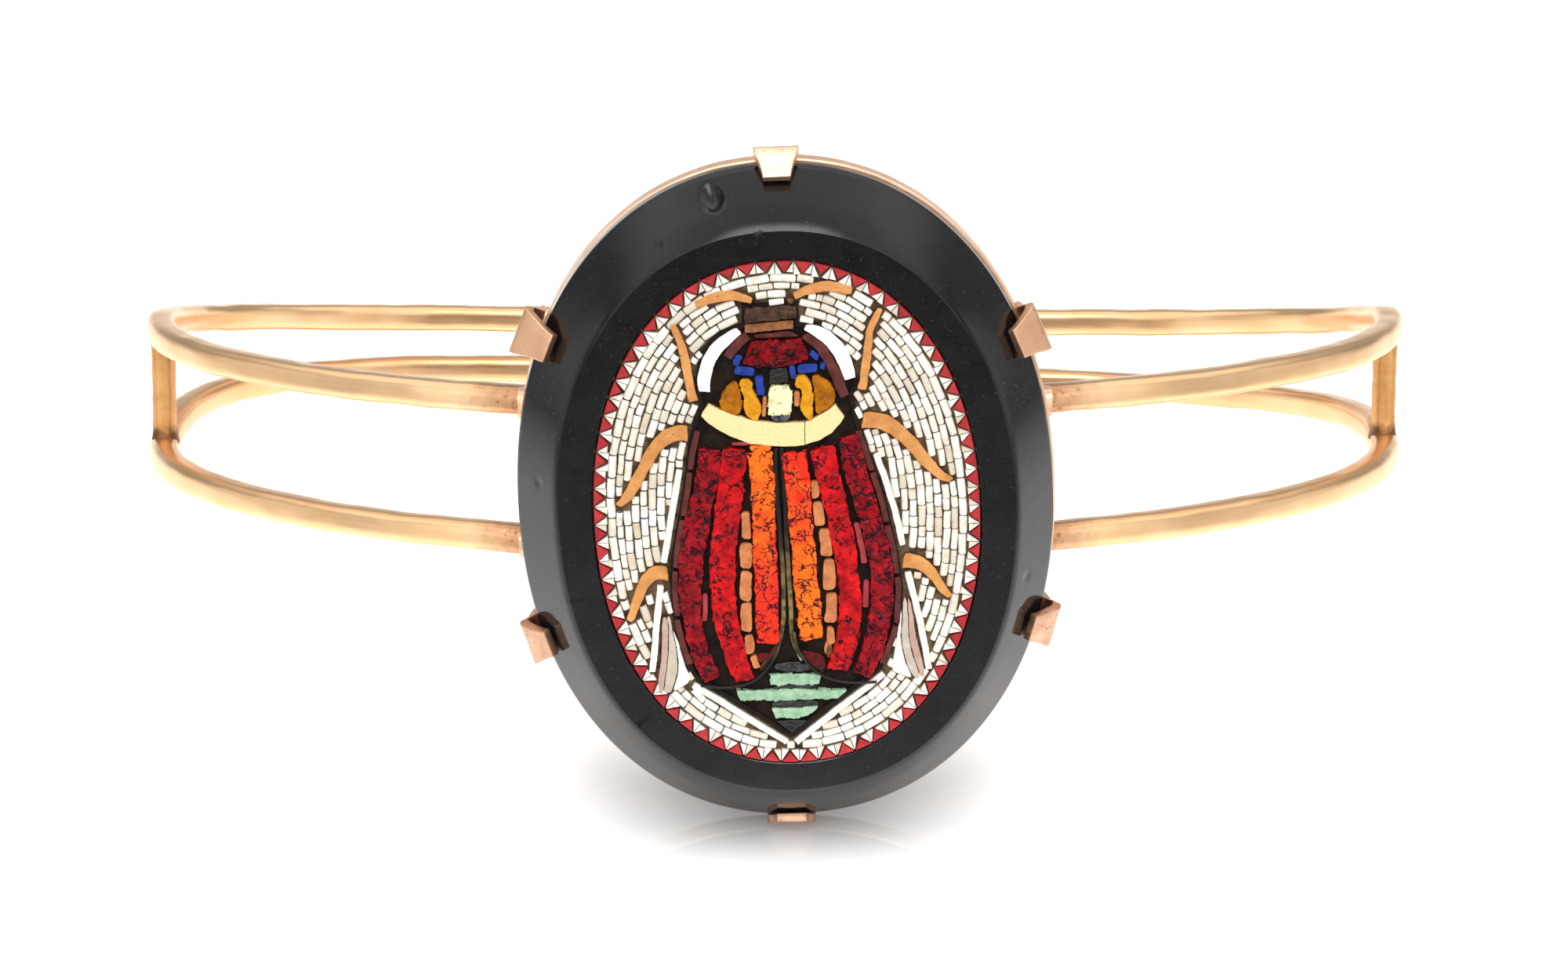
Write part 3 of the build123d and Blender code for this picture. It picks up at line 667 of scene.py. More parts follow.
# Copies of the rose gold for the claws: lighter ones carry painted light, darker ones painted shade.
ROSE_PAINTED_HALF_SHADE = sheet_gold("warm_rose_gold", (0.86, 0.53, 0.34), (0.76, 0.43, 0.26), 0.64, 0.5)
ROSE_PAINTED_LIGHT = sheet_gold("pale_rose_gold", (1.0, 0.76, 0.56), (0.95, 0.64, 0.42), 0.62, 0.5)
ROSE_PAINTED_SHADE = sheet_gold("dark_rose_gold", (0.72, 0.45, 0.31), (0.54, 0.31, 0.20), 0.58, 0.5)
POST_GOLD = sheet_gold("post_gold", (0.74, 0.42, 0.17), (0.60, 0.30, 0.10), 0.62, 0.0)
print("sheet golds made")

# %% [markdown]
# At each side a short post joins the two hoops. It is a soft square too, and it swells at both ends
# where the solder ran. The torch left its foot darker than its head.

# %% Posts with solder at both ends
POST_THICK, POST_WIDE, POST_ROUND = 0.6, 0.76, 2.8
POST_SUNK = 0.25
FILLET, FILLET_SHARE = 0.34, 0.16
BURNT_UP_TO, BURNT_FADES = 1.3, 0.9


def make_post(name, hand):
    rows, count = 17, 24
    points = []
    half_tall = SIDE_SPREAD - POST_SUNK
    for row in range(rows):
        share = row / (rows - 1)
        height = half_tall * (2 * share - 1)
        near_end = max(0.0, 1 - min(share, 1 - share) / FILLET_SHARE)
        swell = FILLET * near_end**2 * (1.25 if share < 0.5 else 0.8)
        for i in range(count):
            turn = 2 * math.pi * i / count
            c, s = math.cos(turn), math.sin(turn)
            square = square_reach(c, s, POST_ROUND)
            thick, wide = (POST_THICK + swell * 0.3) * square, (POST_WIDE + swell) * square
            place = Vector((thick * c, wide * s, height))
            place *= 1 + 0.06 * noise.noise(place * 1.7 + Vector((hand * 5, 0, 0)))
            points.append((place.x + hand * HALF_WIDE, place.y, height))
    post = make_piece(name, points, rings_to_faces(rows, count), REST, POST_GOLD, 50)
    burn_points(post, lambda spot: max(0.0, min(1.0, (BURNT_UP_TO - half_tall - spot.z) / BURNT_FADES)))
    return post


posts = [make_post("left_post", -1), make_post("right_post", 1)]

# %% [markdown]
# Behind the stone runs an open oval frame, and the wires are soldered to its back. Only a thin gold
# line of it shows past the stone's edge from the front, but it is plain to see from behind. The
# stone was cut by hand: its oval is slightly square and leans a little to the left, so one function
# gives the places on that oval, and the frame, the stone, the bed and the border all ask it.

# %% Oval frame and solder seats
STONE_WIDE, STONE_TALL = 12.5, 15.8
OVAL_ROUNDNESS, OVAL_TURNED = 2.15, math.radians(3.0)
GIRDLE_BACK, GIRDLE_TOP = -0.5, 0.5
FRAME_THICK, FRAME_DEEP, FRAME_SHOWS = 1.05, 2.4, 0.07
FRAME_FRONT = GIRDLE_BACK - 0.05
FRAME_BACK = FRAME_FRONT - FRAME_THICK
FRAME_RIGHT, FRAME_UP = 0.07, 0.03
SEAT_START, SEAT_LONG, SEAT_MIDDLE = WIRE_END - 0.2, 2.5, -21.0
SEAT_HALF_TALL, SEAT_SWELL, SEAT_ROUND = 0.66, 0.12, 3.5
SEAT_FORWARD, SEAT_BACKWARD = 1.2, 0.5
SEAT_BURNT = 0.35


def oval(half_wide, half_tall, share):
    """A place on a slightly square oval that leans a few degrees to the left, as the stone does."""
    turn = 2 * math.pi * share
    c, s = math.cos(turn), math.sin(turn)
    swell = square_reach(c, s, OVAL_ROUNDNESS)
    across, up = half_wide * c * swell, half_tall * s * swell
    lean_c, lean_s = math.cos(OVAL_TURNED), math.sin(OVAL_TURNED)
    return across * lean_c - up * lean_s, across * lean_s + up * lean_c


def make_frame():
    count, points = 300, []
    section = [
        # inset from the frame's outer edge, height
        (FRAME_DEEP, FRAME_BACK + 0.1), (FRAME_DEEP - 0.1, FRAME_BACK),
        (0.12, FRAME_BACK), (0.0, FRAME_BACK + 0.12),
        (0.0, FRAME_FRONT - 0.08), (0.08, FRAME_FRONT),
        (FRAME_DEEP - 0.1, FRAME_FRONT), (FRAME_DEEP, FRAME_FRONT - 0.1),
    ]
    for inset, height in section:
        for i in range(count):
            x, y = oval(STONE_WIDE + FRAME_SHOWS - inset, STONE_TALL + FRAME_SHOWS - inset, i / count)
            by_hand = 1 + 0.0012 * noise.noise(Vector((x, y, height)) * 0.8)
            points.append((x * by_hand + FRAME_RIGHT, y * by_hand + FRAME_UP, height))
    return make_piece("oval_frame", points, tube_to_faces(len(section), count), STONE, ROSE_GOLD, 40)


def make_seat(name, side, hand):
    """A lump of solder from the back of the frame to the end of a wire."""
    rows, count, points = 9, 20, []
    for row in range(rows):
        share = row / (rows - 1)
        x = SEAT_START + SEAT_LONG * share
        swell = math.sin(math.pi * min(1, 0.15 + share * 0.9)) * SEAT_SWELL
        for i in range(count):
            turn = 2 * math.pi * i / count
            c, s = math.cos(turn), math.sin(turn)
            square = square_reach(c, s, SEAT_ROUND)
            deep = SEAT_FORWARD if c < 0 else SEAT_BACKWARD
            height = side * FRONT_SPREAD + (SEAT_HALF_TALL + swell) * square * s
            place = Vector((x, SEAT_MIDDLE + deep * square * c, height))
            place += Vector((0, 1, 1)) * 0.1 * noise.noise(place * 1.5)
            points.append((hand * place.x, place.y, place.z))
    seat = make_piece(name, points, rings_to_faces(rows, count), REST, ROSE_GOLD, 50)
    burn_points(seat, lambda spot: SEAT_BURNT)
    return seat


mount = [make_frame()]
for side, word in ((1, "upper"), (-1, "lower")):
    for hand, hand_word in ((1, "right"), (-1, "left")):
        mount.append(make_seat(f"{word}_{hand_word}_seat", side, hand))

# %% [markdown]
# Six claws hold the stone. Each is a strip of sheet that rises from the frame, leans outward, and is
# folded in so that its tip presses on the bevel. Its two sides are filed hollow, so the tip is
# narrower than the fold. The strip is built from stations along its length, each with an inner and
# an outer point and a half width, and its edges are then softened. No two claws are alike: a table
# says where each stands, how far it stands out and reaches in, how wide it is and which gold it is.
# The golds are lighter and darker copies of one rose gold: painted light on the top claw, and
# painted shade on the others, deeper on the lower ones.

# %% Claws
CLAWS = {
    # name: turn round the oval in degrees, how far the fold stands out, how far the tip reaches in,
    # share of the usual width, gold, a copy with painted light for the top claw and painted shade for the
    # rest
    "top_claw": (88.5, 1.04, 0.49, 1.0, ROSE_PAINTED_LIGHT),
    "upper_left_claw": (149.1, 1.36, 0.64, 1.08, ROSE_PAINTED_HALF_SHADE),
    "upper_right_claw": (26.7, 1.13, 0.58, 1.12, ROSE_PAINTED_HALF_SHADE),
    "lower_left_claw": (203.2, 1.0, 0.48, 1.0, ROSE_PAINTED_SHADE),
    "lower_right_claw": (334.9, 1.04, 0.58, 1.0, ROSE_PAINTED_SHADE),
    "bottom_claw": (267.7, 0.5, 0.3, 1.08, ROSE_PAINTED_SHADE),
}
CLAW_THICK, CLAW_FOLD = 0.42, 0.4
FOLD_ROUND = 0.34
WAIST_OUT = 0.12
BEVEL_SLOPE, TIP_CLEAR = 1.53, 0.21


def fold_over(before, corner, after, share):
    """A point of the curve that rounds a fold off, from a little before the corner to a little after."""
    start, end = corner.lerp(before, FOLD_ROUND), corner.lerp(after, FOLD_ROUND)
    return start.lerp(corner, share).lerp(corner.lerp(end, share), share)


def claw_stations(stand_off, reach_in):
    """Rows of inner point, outer point and half width; points are (out of the edge, forward)."""
    tip_high = GIRDLE_TOP + reach_in * BEVEL_SLOPE + TIP_CLEAR
    lean_in = math.atan2(tip_high - CLAW_FOLD, reach_in + stand_off - CLAW_THICK)
    inner_fold = Vector((stand_off - CLAW_THICK, CLAW_FOLD))
    outer_fold = Vector((stand_off, CLAW_FOLD + CLAW_THICK * (1 / math.cos(lean_in) - math.tan(lean_in))))
    inner_tip = Vector((-reach_in, tip_high))
    outer_tip = inner_tip + Vector((math.sin(lean_in), math.cos(lean_in))) * CLAW_THICK
    foot_in, foot_out = Vector((0.1, FRAME_BACK)), Vector((0.33, FRAME_BACK))
    waist_in = Vector((WAIST_OUT, FRAME_FRONT))
    waist_out = Vector((WAIST_OUT + CLAW_THICK, FRAME_FRONT + 0.1))
    rows = [(foot_in, foot_out, 0.9), (waist_in, waist_out, 0.94)]
    rows.append((waist_in.lerp(inner_fold, 0.5), waist_out.lerp(outer_fold, 0.5), 1.02))
    for share in (0.0, 0.25, 0.5, 0.75, 1.0):
        inner = fold_over(waist_in, inner_fold, inner_tip, share)
        outer = fold_over(waist_out, outer_fold, outer_tip, share)
        rows.append((inner, outer, 1.07 - 0.16 * share**2))
    for share, half_wide in ((0.55, 0.79), (0.78, 0.70), (1.0, 0.64)):
        rows.append((inner_fold.lerp(inner_tip, share), outer_fold.lerp(outer_tip, share), half_wide))
    return rows


def make_claw(name, turn, stand_off, reach_in, width, gold):
    before, edge, after = (
        Vector((*oval(STONE_WIDE, STONE_TALL, (turn + step) / 360), 0)) for step in (-0.5, 0, 0.5)
    )
    along = (after - before).normalized()
    outward = Vector((along.y, -along.x, 0))
    points = []
    for inner, outer, half_wide in claw_stations(stand_off, reach_in):
        for flat, hand in ((inner, -1), (inner, 1), (outer, 1), (outer, -1)):
            place = edge + outward * flat.x + along * (hand * half_wide * width)
            place.z = flat.y
            points.append(place + noise.noise_vector(place * 1.3) * 0.03)
    return make_piece(name, points, rings_to_faces(len(points) // 4, 4), STONE, gold, 40, bevel=0.05)


claws = [make_claw(name, *row) for name, row in CLAWS.items()]
for piece in hoops + posts + mount + claws:
    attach(piece, "root")
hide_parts("gold_mount")

# %% [markdown]
# The stone is a single black oval with a polished, slightly convex bevel and a flat face that holds
# the mosaic in a recess. It is built as rings from the back, over the girdle and the bevel, to the
# recess, close enough together for reflections to bend smoothly. The bevel rises steeply and then
# turns over, late at the sides and sooner at the two ends. Age shows in small chips along the inner
# edge and in a round pit near the top: the points nearby are simply pushed in.

# %% Stone
FLAT_WIDE, FLAT_TALL = 10.54, 13.48
FACE_HIGH = 3.5
RECESS_FLOOR = FACE_HIGH - 0.8
MOSAIC_WIDE, MOSAIC_TALL = 8.92, 12.1
CHIPS = [
    # across, up, radius, depth
    (-3.45, 14.6, 0.55, 0.34), (-5.9, 12.6, 0.2, 0.05), (-1.4, 13.45, 0.13, 0.05),
    (-11.5, 1.2, 0.2, 0.04), (-10.1, -4.0, 0.15, 0.05), (11.2, -3.4, 0.22, 0.05),
    (-7.0, -10.1, 0.16, 0.05), (8.3, -8.3, 0.15, 0.05),
]
BEVEL_ROWS = 30
BEVEL_STEEP, BEVEL_FLAT = 1.24, 0.4
TURNS_AT_ENDS, TURNS_AT_SIDES = 0.5, 0.84


def bevel_heights(turns_at):
    """Shares of the bevel's height: a steep outer part that turns over to a flatter one inside."""
    climbed = [0.0]
    for i in range(BEVEL_ROWS):
        turned = max(0.0, ((i + 0.5) / BEVEL_ROWS - turns_at) / (1 - turns_at))
        climbed.append(climbed[-1] + BEVEL_STEEP + (BEVEL_FLAT - BEVEL_STEEP) * turned)
    return [height / climbed[-1] for height in climbed]


def stone_rows(turns_at):
    """Rings of half width, half height and place forward, from the back to the floor of the recess."""
    rows = [(0.0, 0.0, GIRDLE_BACK)]
    rows += [(STONE_WIDE * s, STONE_TALL * s, GIRDLE_BACK) for s in (0.3, 0.6, 0.9)]
    girdle = [(0.12, GIRDLE_BACK), (0.0, GIRDLE_BACK + 0.12), (0.0, 0.0)]
    girdle += [(0.0, GIRDLE_TOP - 0.06), (0.02, GIRDLE_TOP + 0.02)]
    rows += [(STONE_WIDE - inset, STONE_TALL - inset, height) for inset, height in girdle]
    for i, height in enumerate(bevel_heights(turns_at)[1:], start=1):
        share = i / BEVEL_ROWS
        wide = STONE_WIDE + (FLAT_WIDE - STONE_WIDE) * share
        tall = STONE_TALL + (FLAT_TALL - STONE_TALL) * share
        rows.append((wide, tall, GIRDLE_TOP + (FACE_HIGH - GIRDLE_TOP) * height))
    flat = [(0.04, 0.04), (0.12, 0.12), (0.8, 0.7)]
    rows += [(FLAT_WIDE - across, FLAT_TALL - up, FACE_HIGH) for across, up in flat]
    recess = [(0.1, FACE_HIGH), (0.04, FACE_HIGH - 0.04), (0.04, RECESS_FLOOR)]
    rows += [(MOSAIC_WIDE + clear, MOSAIC_TALL + clear, height) for clear, height in recess]
    return rows + [(0.0, 0.0, RECESS_FLOOR)]


def pushed_in(place):
    """Moves a point of the bevel down into each chip that it lies in."""
    for across, up, radius, depth in CHIPS:
        away = math.hypot(place.x - across, place.y - up) / radius
        if away < 1 and place.z > 0:
            inward = Vector((-place.x / STONE_WIDE**2, -place.y / STONE_TALL**2, 0)).normalized()
            place = place + (inward * 0.8 + Vector((0, 0, -0.6))) * depth * (1 - away * away)
    return place


def make_stone(material):
    count = 560
    points = []
    at_sides, at_ends = stone_rows(TURNS_AT_SIDES), stone_rows(TURNS_AT_ENDS)
    for (wide, tall, side_high), (_, _, end_high) in zip(at_sides, at_ends):
        for i in range(count):
            x, y = oval(wide, tall, i / count)
            near_end = abs(y / STONE_TALL) ** 3
            points.append(pushed_in(Vector((x, y, side_high + (end_high - side_high) * near_end))))
    faces = rings_to_faces(len(at_sides), count, closed_ends=False)
    return make_piece("black_stone", points, faces, STONE, material, 28)


def stone_finish():
    material, tree, shader, where = start_finish("polished_black_stone")
    blacks = [(0.35, (0.003, 0.003, 0.0035)), (0.7, (0.008, 0.0075, 0.0075))]
    mottled = grey_ramp(tree, cloudy(tree, where, 1.6, 6, 0.6), blacks)
    dust = grey_ramp(tree, cloudy(tree, where, 0.09, 2, 0.5), [(0.74, 0.0), (0.80, 1.0)])
    colour = blend_colours(tree, dust, mottled, (0.14, 0.14, 0.14))
    along = add_node(tree, "ShaderNodeMapping", {"Vector": where, "Scale": (0.25, 1, 5)}).outputs[0]
    wiped = grey_ramp(tree, cloudy(tree, along, 1.2, 5, 0.65), [(0.35, 0.03), (0.7, 0.16)])
    feed(tree, shader, {"Base Color": colour, "Roughness": wiped, "IOR": 1.43})
    pits = grey_ramp(tree, cloudy(tree, where, 0.16, 3), [(0.27, 0.0), (0.33, 1.0)])
    first = dent(tree, shader, pits, 0.03, 0.8)
    dent(tree, shader, cloudy(tree, where, 3.5, 2), 0.05, 0.3, first)
    return material


black_stone = make_stone(stone_finish())
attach(black_stone, "root")
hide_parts("plaque")

# %% [markdown]
# A mosaic of this kind is a field of tiny glass rods pressed into putty, which shows as a dark thin
# line round each rod. The putty is one low oval slab, with a rim of putty standing up round the
# beetle. Inside the rim the putty lies deeper, so the beetle's larger pieces stand out of shadow.

# %% Putty
def putty_finish(name, deep, light):
    material, tree, shader, where = start_finish(name)
    tone = grey_ramp(tree, cloudy(tree, where, 0.5, 5), [(0.35, deep), (0.75, light)])
    feed(tree, shader, {"Base Color": tone, "Roughness": 0.8, "Specular IOR Level": 0.15})
    dent(tree, shader, cloudy(tree, where, 0.2, 4), 0.05, 0.7)
    return material


DARK_PUTTY = putty_finish("dark_putty", (0.006, 0.004, 0.003), (0.022, 0.013, 0.008))
LIMB_PUTTY = putty_finish("limb_putty", (0.03, 0.018, 0.010), (0.11, 0.07, 0.04))
FIELD_PUTTY = putty_finish("field_putty", (0.045, 0.028, 0.015), (0.24, 0.165, 0.09))
BODY_OUTLINE = [
    # across and up, as shares of the mosaic's two halves
    (-0.237, 0.831), (0.05, 0.84), (0.058, 0.76), (0.148, 0.76), (0.254, 0.709), (0.331, 0.616),
    (0.363, 0.531), (0.335, 0.475), (0.367, 0.372), (0.416, 0.272), (0.513, 0.056), (0.582, -0.175),
    (0.602, -0.294), (0.594, -0.428), (0.554, -0.525), (0.497, -0.619), (0.026, -0.9), (-0.485, -0.656),
    (-0.558, -0.525), (-0.598, -0.391), (-0.611, -0.253), (-0.598, -0.15), (-0.55, 0.056),
    (-0.513, 0.272), (-0.487, 0.366), (-0.455, 0.437), (-0.473, 0.506), (-0.466, 0.584),
    (-0.432, 0.662), (-0.359, 0.719), (-0.237, 0.755),
]
BED_LOW, BED_HIGH = FACE_HIGH - 0.78, FACE_HIGH - 0.18
BODY_BED_LOW, BODY_BED_HIGH = FACE_HIGH - 0.5, BED_HIGH + 0.02
RIM_WIDE, RIM_LOW, RIM_HIGH = 0.2, FACE_HIGH - 0.4, FACE_HIGH + 0.02
BODY = [Vector((across * MOSAIC_WIDE, up * MOSAIC_TALL)) for across, up in BODY_OUTLINE]


def inset_outline(outline, inset):
    """The outline moved inward by the same distance all round. It runs clockwise."""
    moved = []
    for i, corner in enumerate(outline):
        before = (corner - outline[i - 1]).normalized()
        after = (outline[(i + 1) % len(outline)] - corner).normalized()
        inward = (before + after).normalized()
        inward = Vector((inward.y, -inward.x))
        moved.append(corner + inward * inset / max(0.5, inward.dot(Vector((after.y, -after.x)))))
    return moved


def make_slab(name, outline, low, high, material):
    points = [(x, y, low) for x, y in outline] + [(x, y, high) for x, y in outline]
    return make_piece(name, points, rings_to_faces(2, len(outline)), STONE, material, 40)


def make_rim(name, outline, material):
    """A wall of putty that follows an outline."""
    inner = inset_outline(outline, RIM_WIDE)
    points = [(x, y, RIM_LOW) for x, y in outline] + [(x, y, RIM_HIGH) for x, y in outline]
    points += [(x, y, RIM_HIGH) for x, y in inner] + [(x, y, RIM_LOW) for x, y in inner]
    return make_piece(name, points, tube_to_faces(4, len(outline)), STONE, material, 40)


bed_outline = [oval(MOSAIC_WIDE, MOSAIC_TALL, i / 160) for i in range(160)]
field_bed = make_slab("field_bed", bed_outline, BED_LOW, BED_HIGH, FIELD_PUTTY)
body_bed = make_slab("beetle_bed", BODY, BODY_BED_LOW, BODY_BED_HIGH, DARK_PUTTY)
body_rim = make_rim("beetle_rim", BODY, DARK_PUTTY)
for bed in (field_bed, body_bed, body_rim):
    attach(bed, "root")
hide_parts("mosaic_bed")

# %% [markdown]
# The white field is several hundred short rods of opaque glass, laid end to end in courses that run
# parallel to the oval's edge. The courses are worked out in a few lines: walk round one oval after
# another, each a little smaller, and cut off rods of uneven length. A rod that would run over the
# beetle, a leg or one of the six long white rods is nipped short, where the solid of the white
# ground ends or a long rod begins. The ground's solid ends at a plain oval, so close to the border,
# where the real oval reaches a little farther, a rod needs no ground. Each rod becomes one point
# that carries its turn, size and tone.

# %% Lay the courses of the field
BORDER_DEEP = 0.6
FIRST_COURSE, COURSES = 0.42, (0.33, 0.39)
FIRST_RODS, INNER_RODS, SHORTEST_KEPT = (0.8, 1.2), (0.5, 1.02), 0.3
ROD_STRAYS, ROD_TURNS = 0.015, 0.06
END_GAP, SIDE_GAPS = 0.05, (0.035, 0.075)


def solid_on_stone(node):
    """The mesh of a solid in millimetres on the stone."""
    shape = bmesh.new()
    shape.from_mesh(frame["nodes"][node].data)
    shape.transform(STONE.inverted())
    return shape


def surface_of(node):
    shape = solid_on_stone(node)
    surface = BVHTree.FromBMesh(shape)
    shape.free()
    return surface


def on_top_of(surface, spot):
    found = surface.ray_cast(Vector((spot.x, spot.y, FACE_HIGH + 5)), Vector((0, 0, -1)))[0]
    return found is not None and found.z > FACE_HIGH - 0.1


def past_the_solid(spot):
    """Near the border, where this oval reaches a little beyond the plain oval of the solid."""
    return math.hypot(spot.x / (MOSAIC_WIDE - BORDER_DEEP), spot.y / (MOSAIC_TALL - BORDER_DEEP)) > 0.995


def nip(ground, long_rods, start, end):
    """The longest stretch between two points that is on the ground and off the long rods, or None."""
    samples = 15
    best, run = [], []
    for i in range(samples + 1):
        spot = start.lerp(end, i / samples)
        free = (on_top_of(ground, spot) or past_the_solid(spot)) and not on_top_of(long_rods, spot)
        run = run + [spot] if free else []
        best = run if len(run) > len(best) else best
    return (best[0], best[-1]) if len(best) > 2 else None


def lay_courses(seed):
    """Rows of place, turn, length, width and tone, one for each white rod."""
    chance, steps = random.Random(seed), 2400
    ground, long_rods = surface_of("white_ground"), surface_of("white_rods")
    rods, inset, wide = [], BORDER_DEEP, FIRST_COURSE
    while MOSAIC_WIDE - inset > 1.5:
        middle = inset + wide / 2
        track = [Vector(oval(MOSAIC_WIDE - middle, MOSAIC_TALL - middle, i / steps)) for i in range(steps)]
        first, gone = chance.randrange(steps), 0
        lengths = FIRST_RODS if inset == BORDER_DEEP else INNER_RODS
        while gone < steps:
            long, end = chance.uniform(*lengths), gone
            start_spot = track[(first + gone) % steps]
            while end < steps and (track[(first + end) % steps] - start_spot).length < long:
                end += 1
            kept = nip(ground, long_rods, start_spot, track[(first + end) % steps])
            if kept and (kept[1] - kept[0]).length > SHORTEST_KEPT:
                run = kept[1] - kept[0]
                place = (kept[0] + kept[1]) / 2
                place += Vector((chance.uniform(-1, 1), chance.uniform(-1, 1))) * ROD_STRAYS
                turn = math.atan2(run.y, run.x) + chance.uniform(-ROD_TURNS, ROD_TURNS)
                rod_wide = wide - chance.uniform(*SIDE_GAPS)
                rods.append((place, turn, run.length - END_GAP, rod_wide, chance.random()))
            gone = end
        inset += wide
        wide = chance.uniform(*COURSES)
    return rods


rods = lay_courses(7)
print("white rods:", len(rods))

# %% [markdown]
# One rod is enough. It has a crowned top and worn corners, and the tree sets it on every point,
# turned and stretched as the point says. No two rods end up quite the same height, and a slight
# waver bends each a little.

# %% One rod, and the tree that sets it on every point
RODS_FROM, ROD_TALL = FACE_HIGH - 0.26, 0.3


def rod_shape():
    """A rod one unit long, wide and tall, with a crowned top and worn corners."""
    half_rows = [(-0.5, 0.8), (-0.48, 0.93), (-0.43, 1.0)]
    rows = half_rows + [(0.0, 1.02)] + [(-x, grow) for x, grow in reversed(half_rows)]
    half = [(-0.5, 0.0), (-0.5, 0.55), (-0.43, 0.8), (-0.24, 0.96)]
    section = half + [(0.0, 1.0)] + [(-y, z) for y, z in reversed(half)]
    points = [(x, y * grow, z * (0.55 + 0.45 * grow)) for x, grow in rows for y, z in section]
    mesh = bpy.data.meshes.new("white_rod")
    mesh.from_pydata(points, [], rings_to_faces(len(rows), len(section)))
    return place_object("white_rod", mesh)


def rods_on_points(rods, base):
    mesh = bpy.data.meshes.new("rod_places")
    mesh.from_pydata([(*rod[0], base) for rod in rods], [], [])
    for column, name in enumerate(("turn", "length", "width", "tone"), start=1):
        keep_on_points(mesh, name, [rod[column] for rod in rods])
    return place_object("rod_places", mesh)


def set_on_points(tree, points, thing, spin, size):
    """Puts a copy of an object on every point, turned and stretched as the last two say."""
    shape = add_node(tree, "GeometryNodeObjectInfo", {"Object": thing}).outputs["Geometry"]
    inputs = {"Points": points, "Instance": shape, "Rotation": spin, "Scale": size}
    return add_node(tree, "GeometryNodeInstanceOnPoints", inputs).outputs[0]


def rods_tree(rod, material):
    tree, given = start_tree("laid_rods", {"Height": ROD_TALL, "Waver": 0.03})
    spin = add_node(tree, "ShaderNodeCombineXYZ", {"Z": named(tree, "turn")}).outputs[0]
    uneven = add_node(tree, "FunctionNodeRandomValue", {2: 0.9, 3: 1.1, "Seed": 3}, data_type="FLOAT")
    tall = sum_up(tree, "MULTIPLY", uneven.outputs[1], given.outputs["Height"])
    size = {"X": named(tree, "length"), "Y": named(tree, "width"), "Z": tall}
    size = add_node(tree, "ShaderNodeCombineXYZ", size).outputs[0]
    laid = set_on_points(tree, given.outputs["Geometry"], rod, spin, size)
    real = add_node(tree, "GeometryNodeRealizeInstances", {"Geometry": laid})
    end_tree(tree, waver(tree, real.outputs[0], given.outputs["Waver"], 2.4), material)
    return tree


rod = rod_shape()
print("corners of one rod:", len(rod.data.vertices))

# %% [markdown]
# The white glass is ivory, and each rod has a tone of its own. Tan stains gather in patches of the
# field, and fine dirt lies in the pits. The rods are then laid and stand in for the white ground.

# %% White glass and the finished field
def white_glass_finish():
    """Ivory glass, each rod of its own tone, with tan stains that gather in patches of the field."""
    material, tree, shader, where = start_finish("white_glass")
    whites = [(0.0, (0.64, 0.57, 0.45)), (0.2, (0.79, 0.74, 0.64))]
    whites += [(0.6, (0.86, 0.83, 0.76)), (1.0, (0.91, 0.89, 0.84))]
    base = grey_ramp(tree, tone_of(tree, "tone"), whites)
    region = grey_ramp(tree, cloudy(tree, where, 3.5, 2), [(0.35, 0.25), (0.65, 1.0)])
    stain = grey_ramp(tree, cloudy(tree, where, 0.42, 5, 0.62), [(0.50, 0.0), (0.70, 0.75)])
    dirt = grey_ramp(tree, cloudy(tree, where, 0.13, 3, 0.6), [(0.60, 0.0), (0.72, 0.6)])
    colour = blend_colours(tree, sum_up(tree, "MULTIPLY", stain, region), base, (0.58, 0.40, 0.22))
    colour = blend_colours(tree, dirt, colour, (0.34, 0.22, 0.12))
    feed(tree, shader, {"Base Color": colour, "Roughness": 0.36, "Specular IOR Level": 0.35})
    dent(tree, shader, cloudy(tree, where, 0.18, 4), 0.03, 0.5)
    return material


WHITE_GLASS = white_glass_finish()
rod_places = rods_on_points(rods, RODS_FROM)
field = run_tree("white_field", rod_places, rods_tree(rod, WHITE_GLASS), {"Waver": 0.08}, STONE)
bpy.data.objects.remove(rod)
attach(field, "root")
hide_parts("white_ground")

# %% [markdown]
# Red triangles stand round the edge with their bases outward, and between two of them a white
# triangle points out, split down its middle because it is made of two slivers. One tree walks the
# oval, turns each tooth to face inward, and varies its size a little, as a hand would.

# %% Teeth of the border
TEETH, PITCH = 76, 0.884
TEETH_FROM = FACE_HIGH - 0.24
TOOTH_TALL, TOOTH_DEEP, TOOTH_APART = 0.3, 0.53, 0.1
SPLIT = 0.018


def tooth_shape(name, corners):
    """A low prism on the given outline, its top edge slightly drawn in."""
    middle = sum((Vector(corner) for corner in corners), Vector((0, 0))) / len(corners)
    drawn_in = [Vector(corner).lerp(middle, 0.09) for corner in corners]
    points = [(*corner, 0) for corner in corners]
    points += [(*corner, TOOTH_TALL - 0.05) for corner in corners]
    points += [(*corner, TOOTH_TALL) for corner in drawn_in]
    mesh = bpy.data.meshes.new(name)
    mesh.from_pydata(points, [], rings_to_faces(3, len(corners)))
    return place_object(name, mesh)


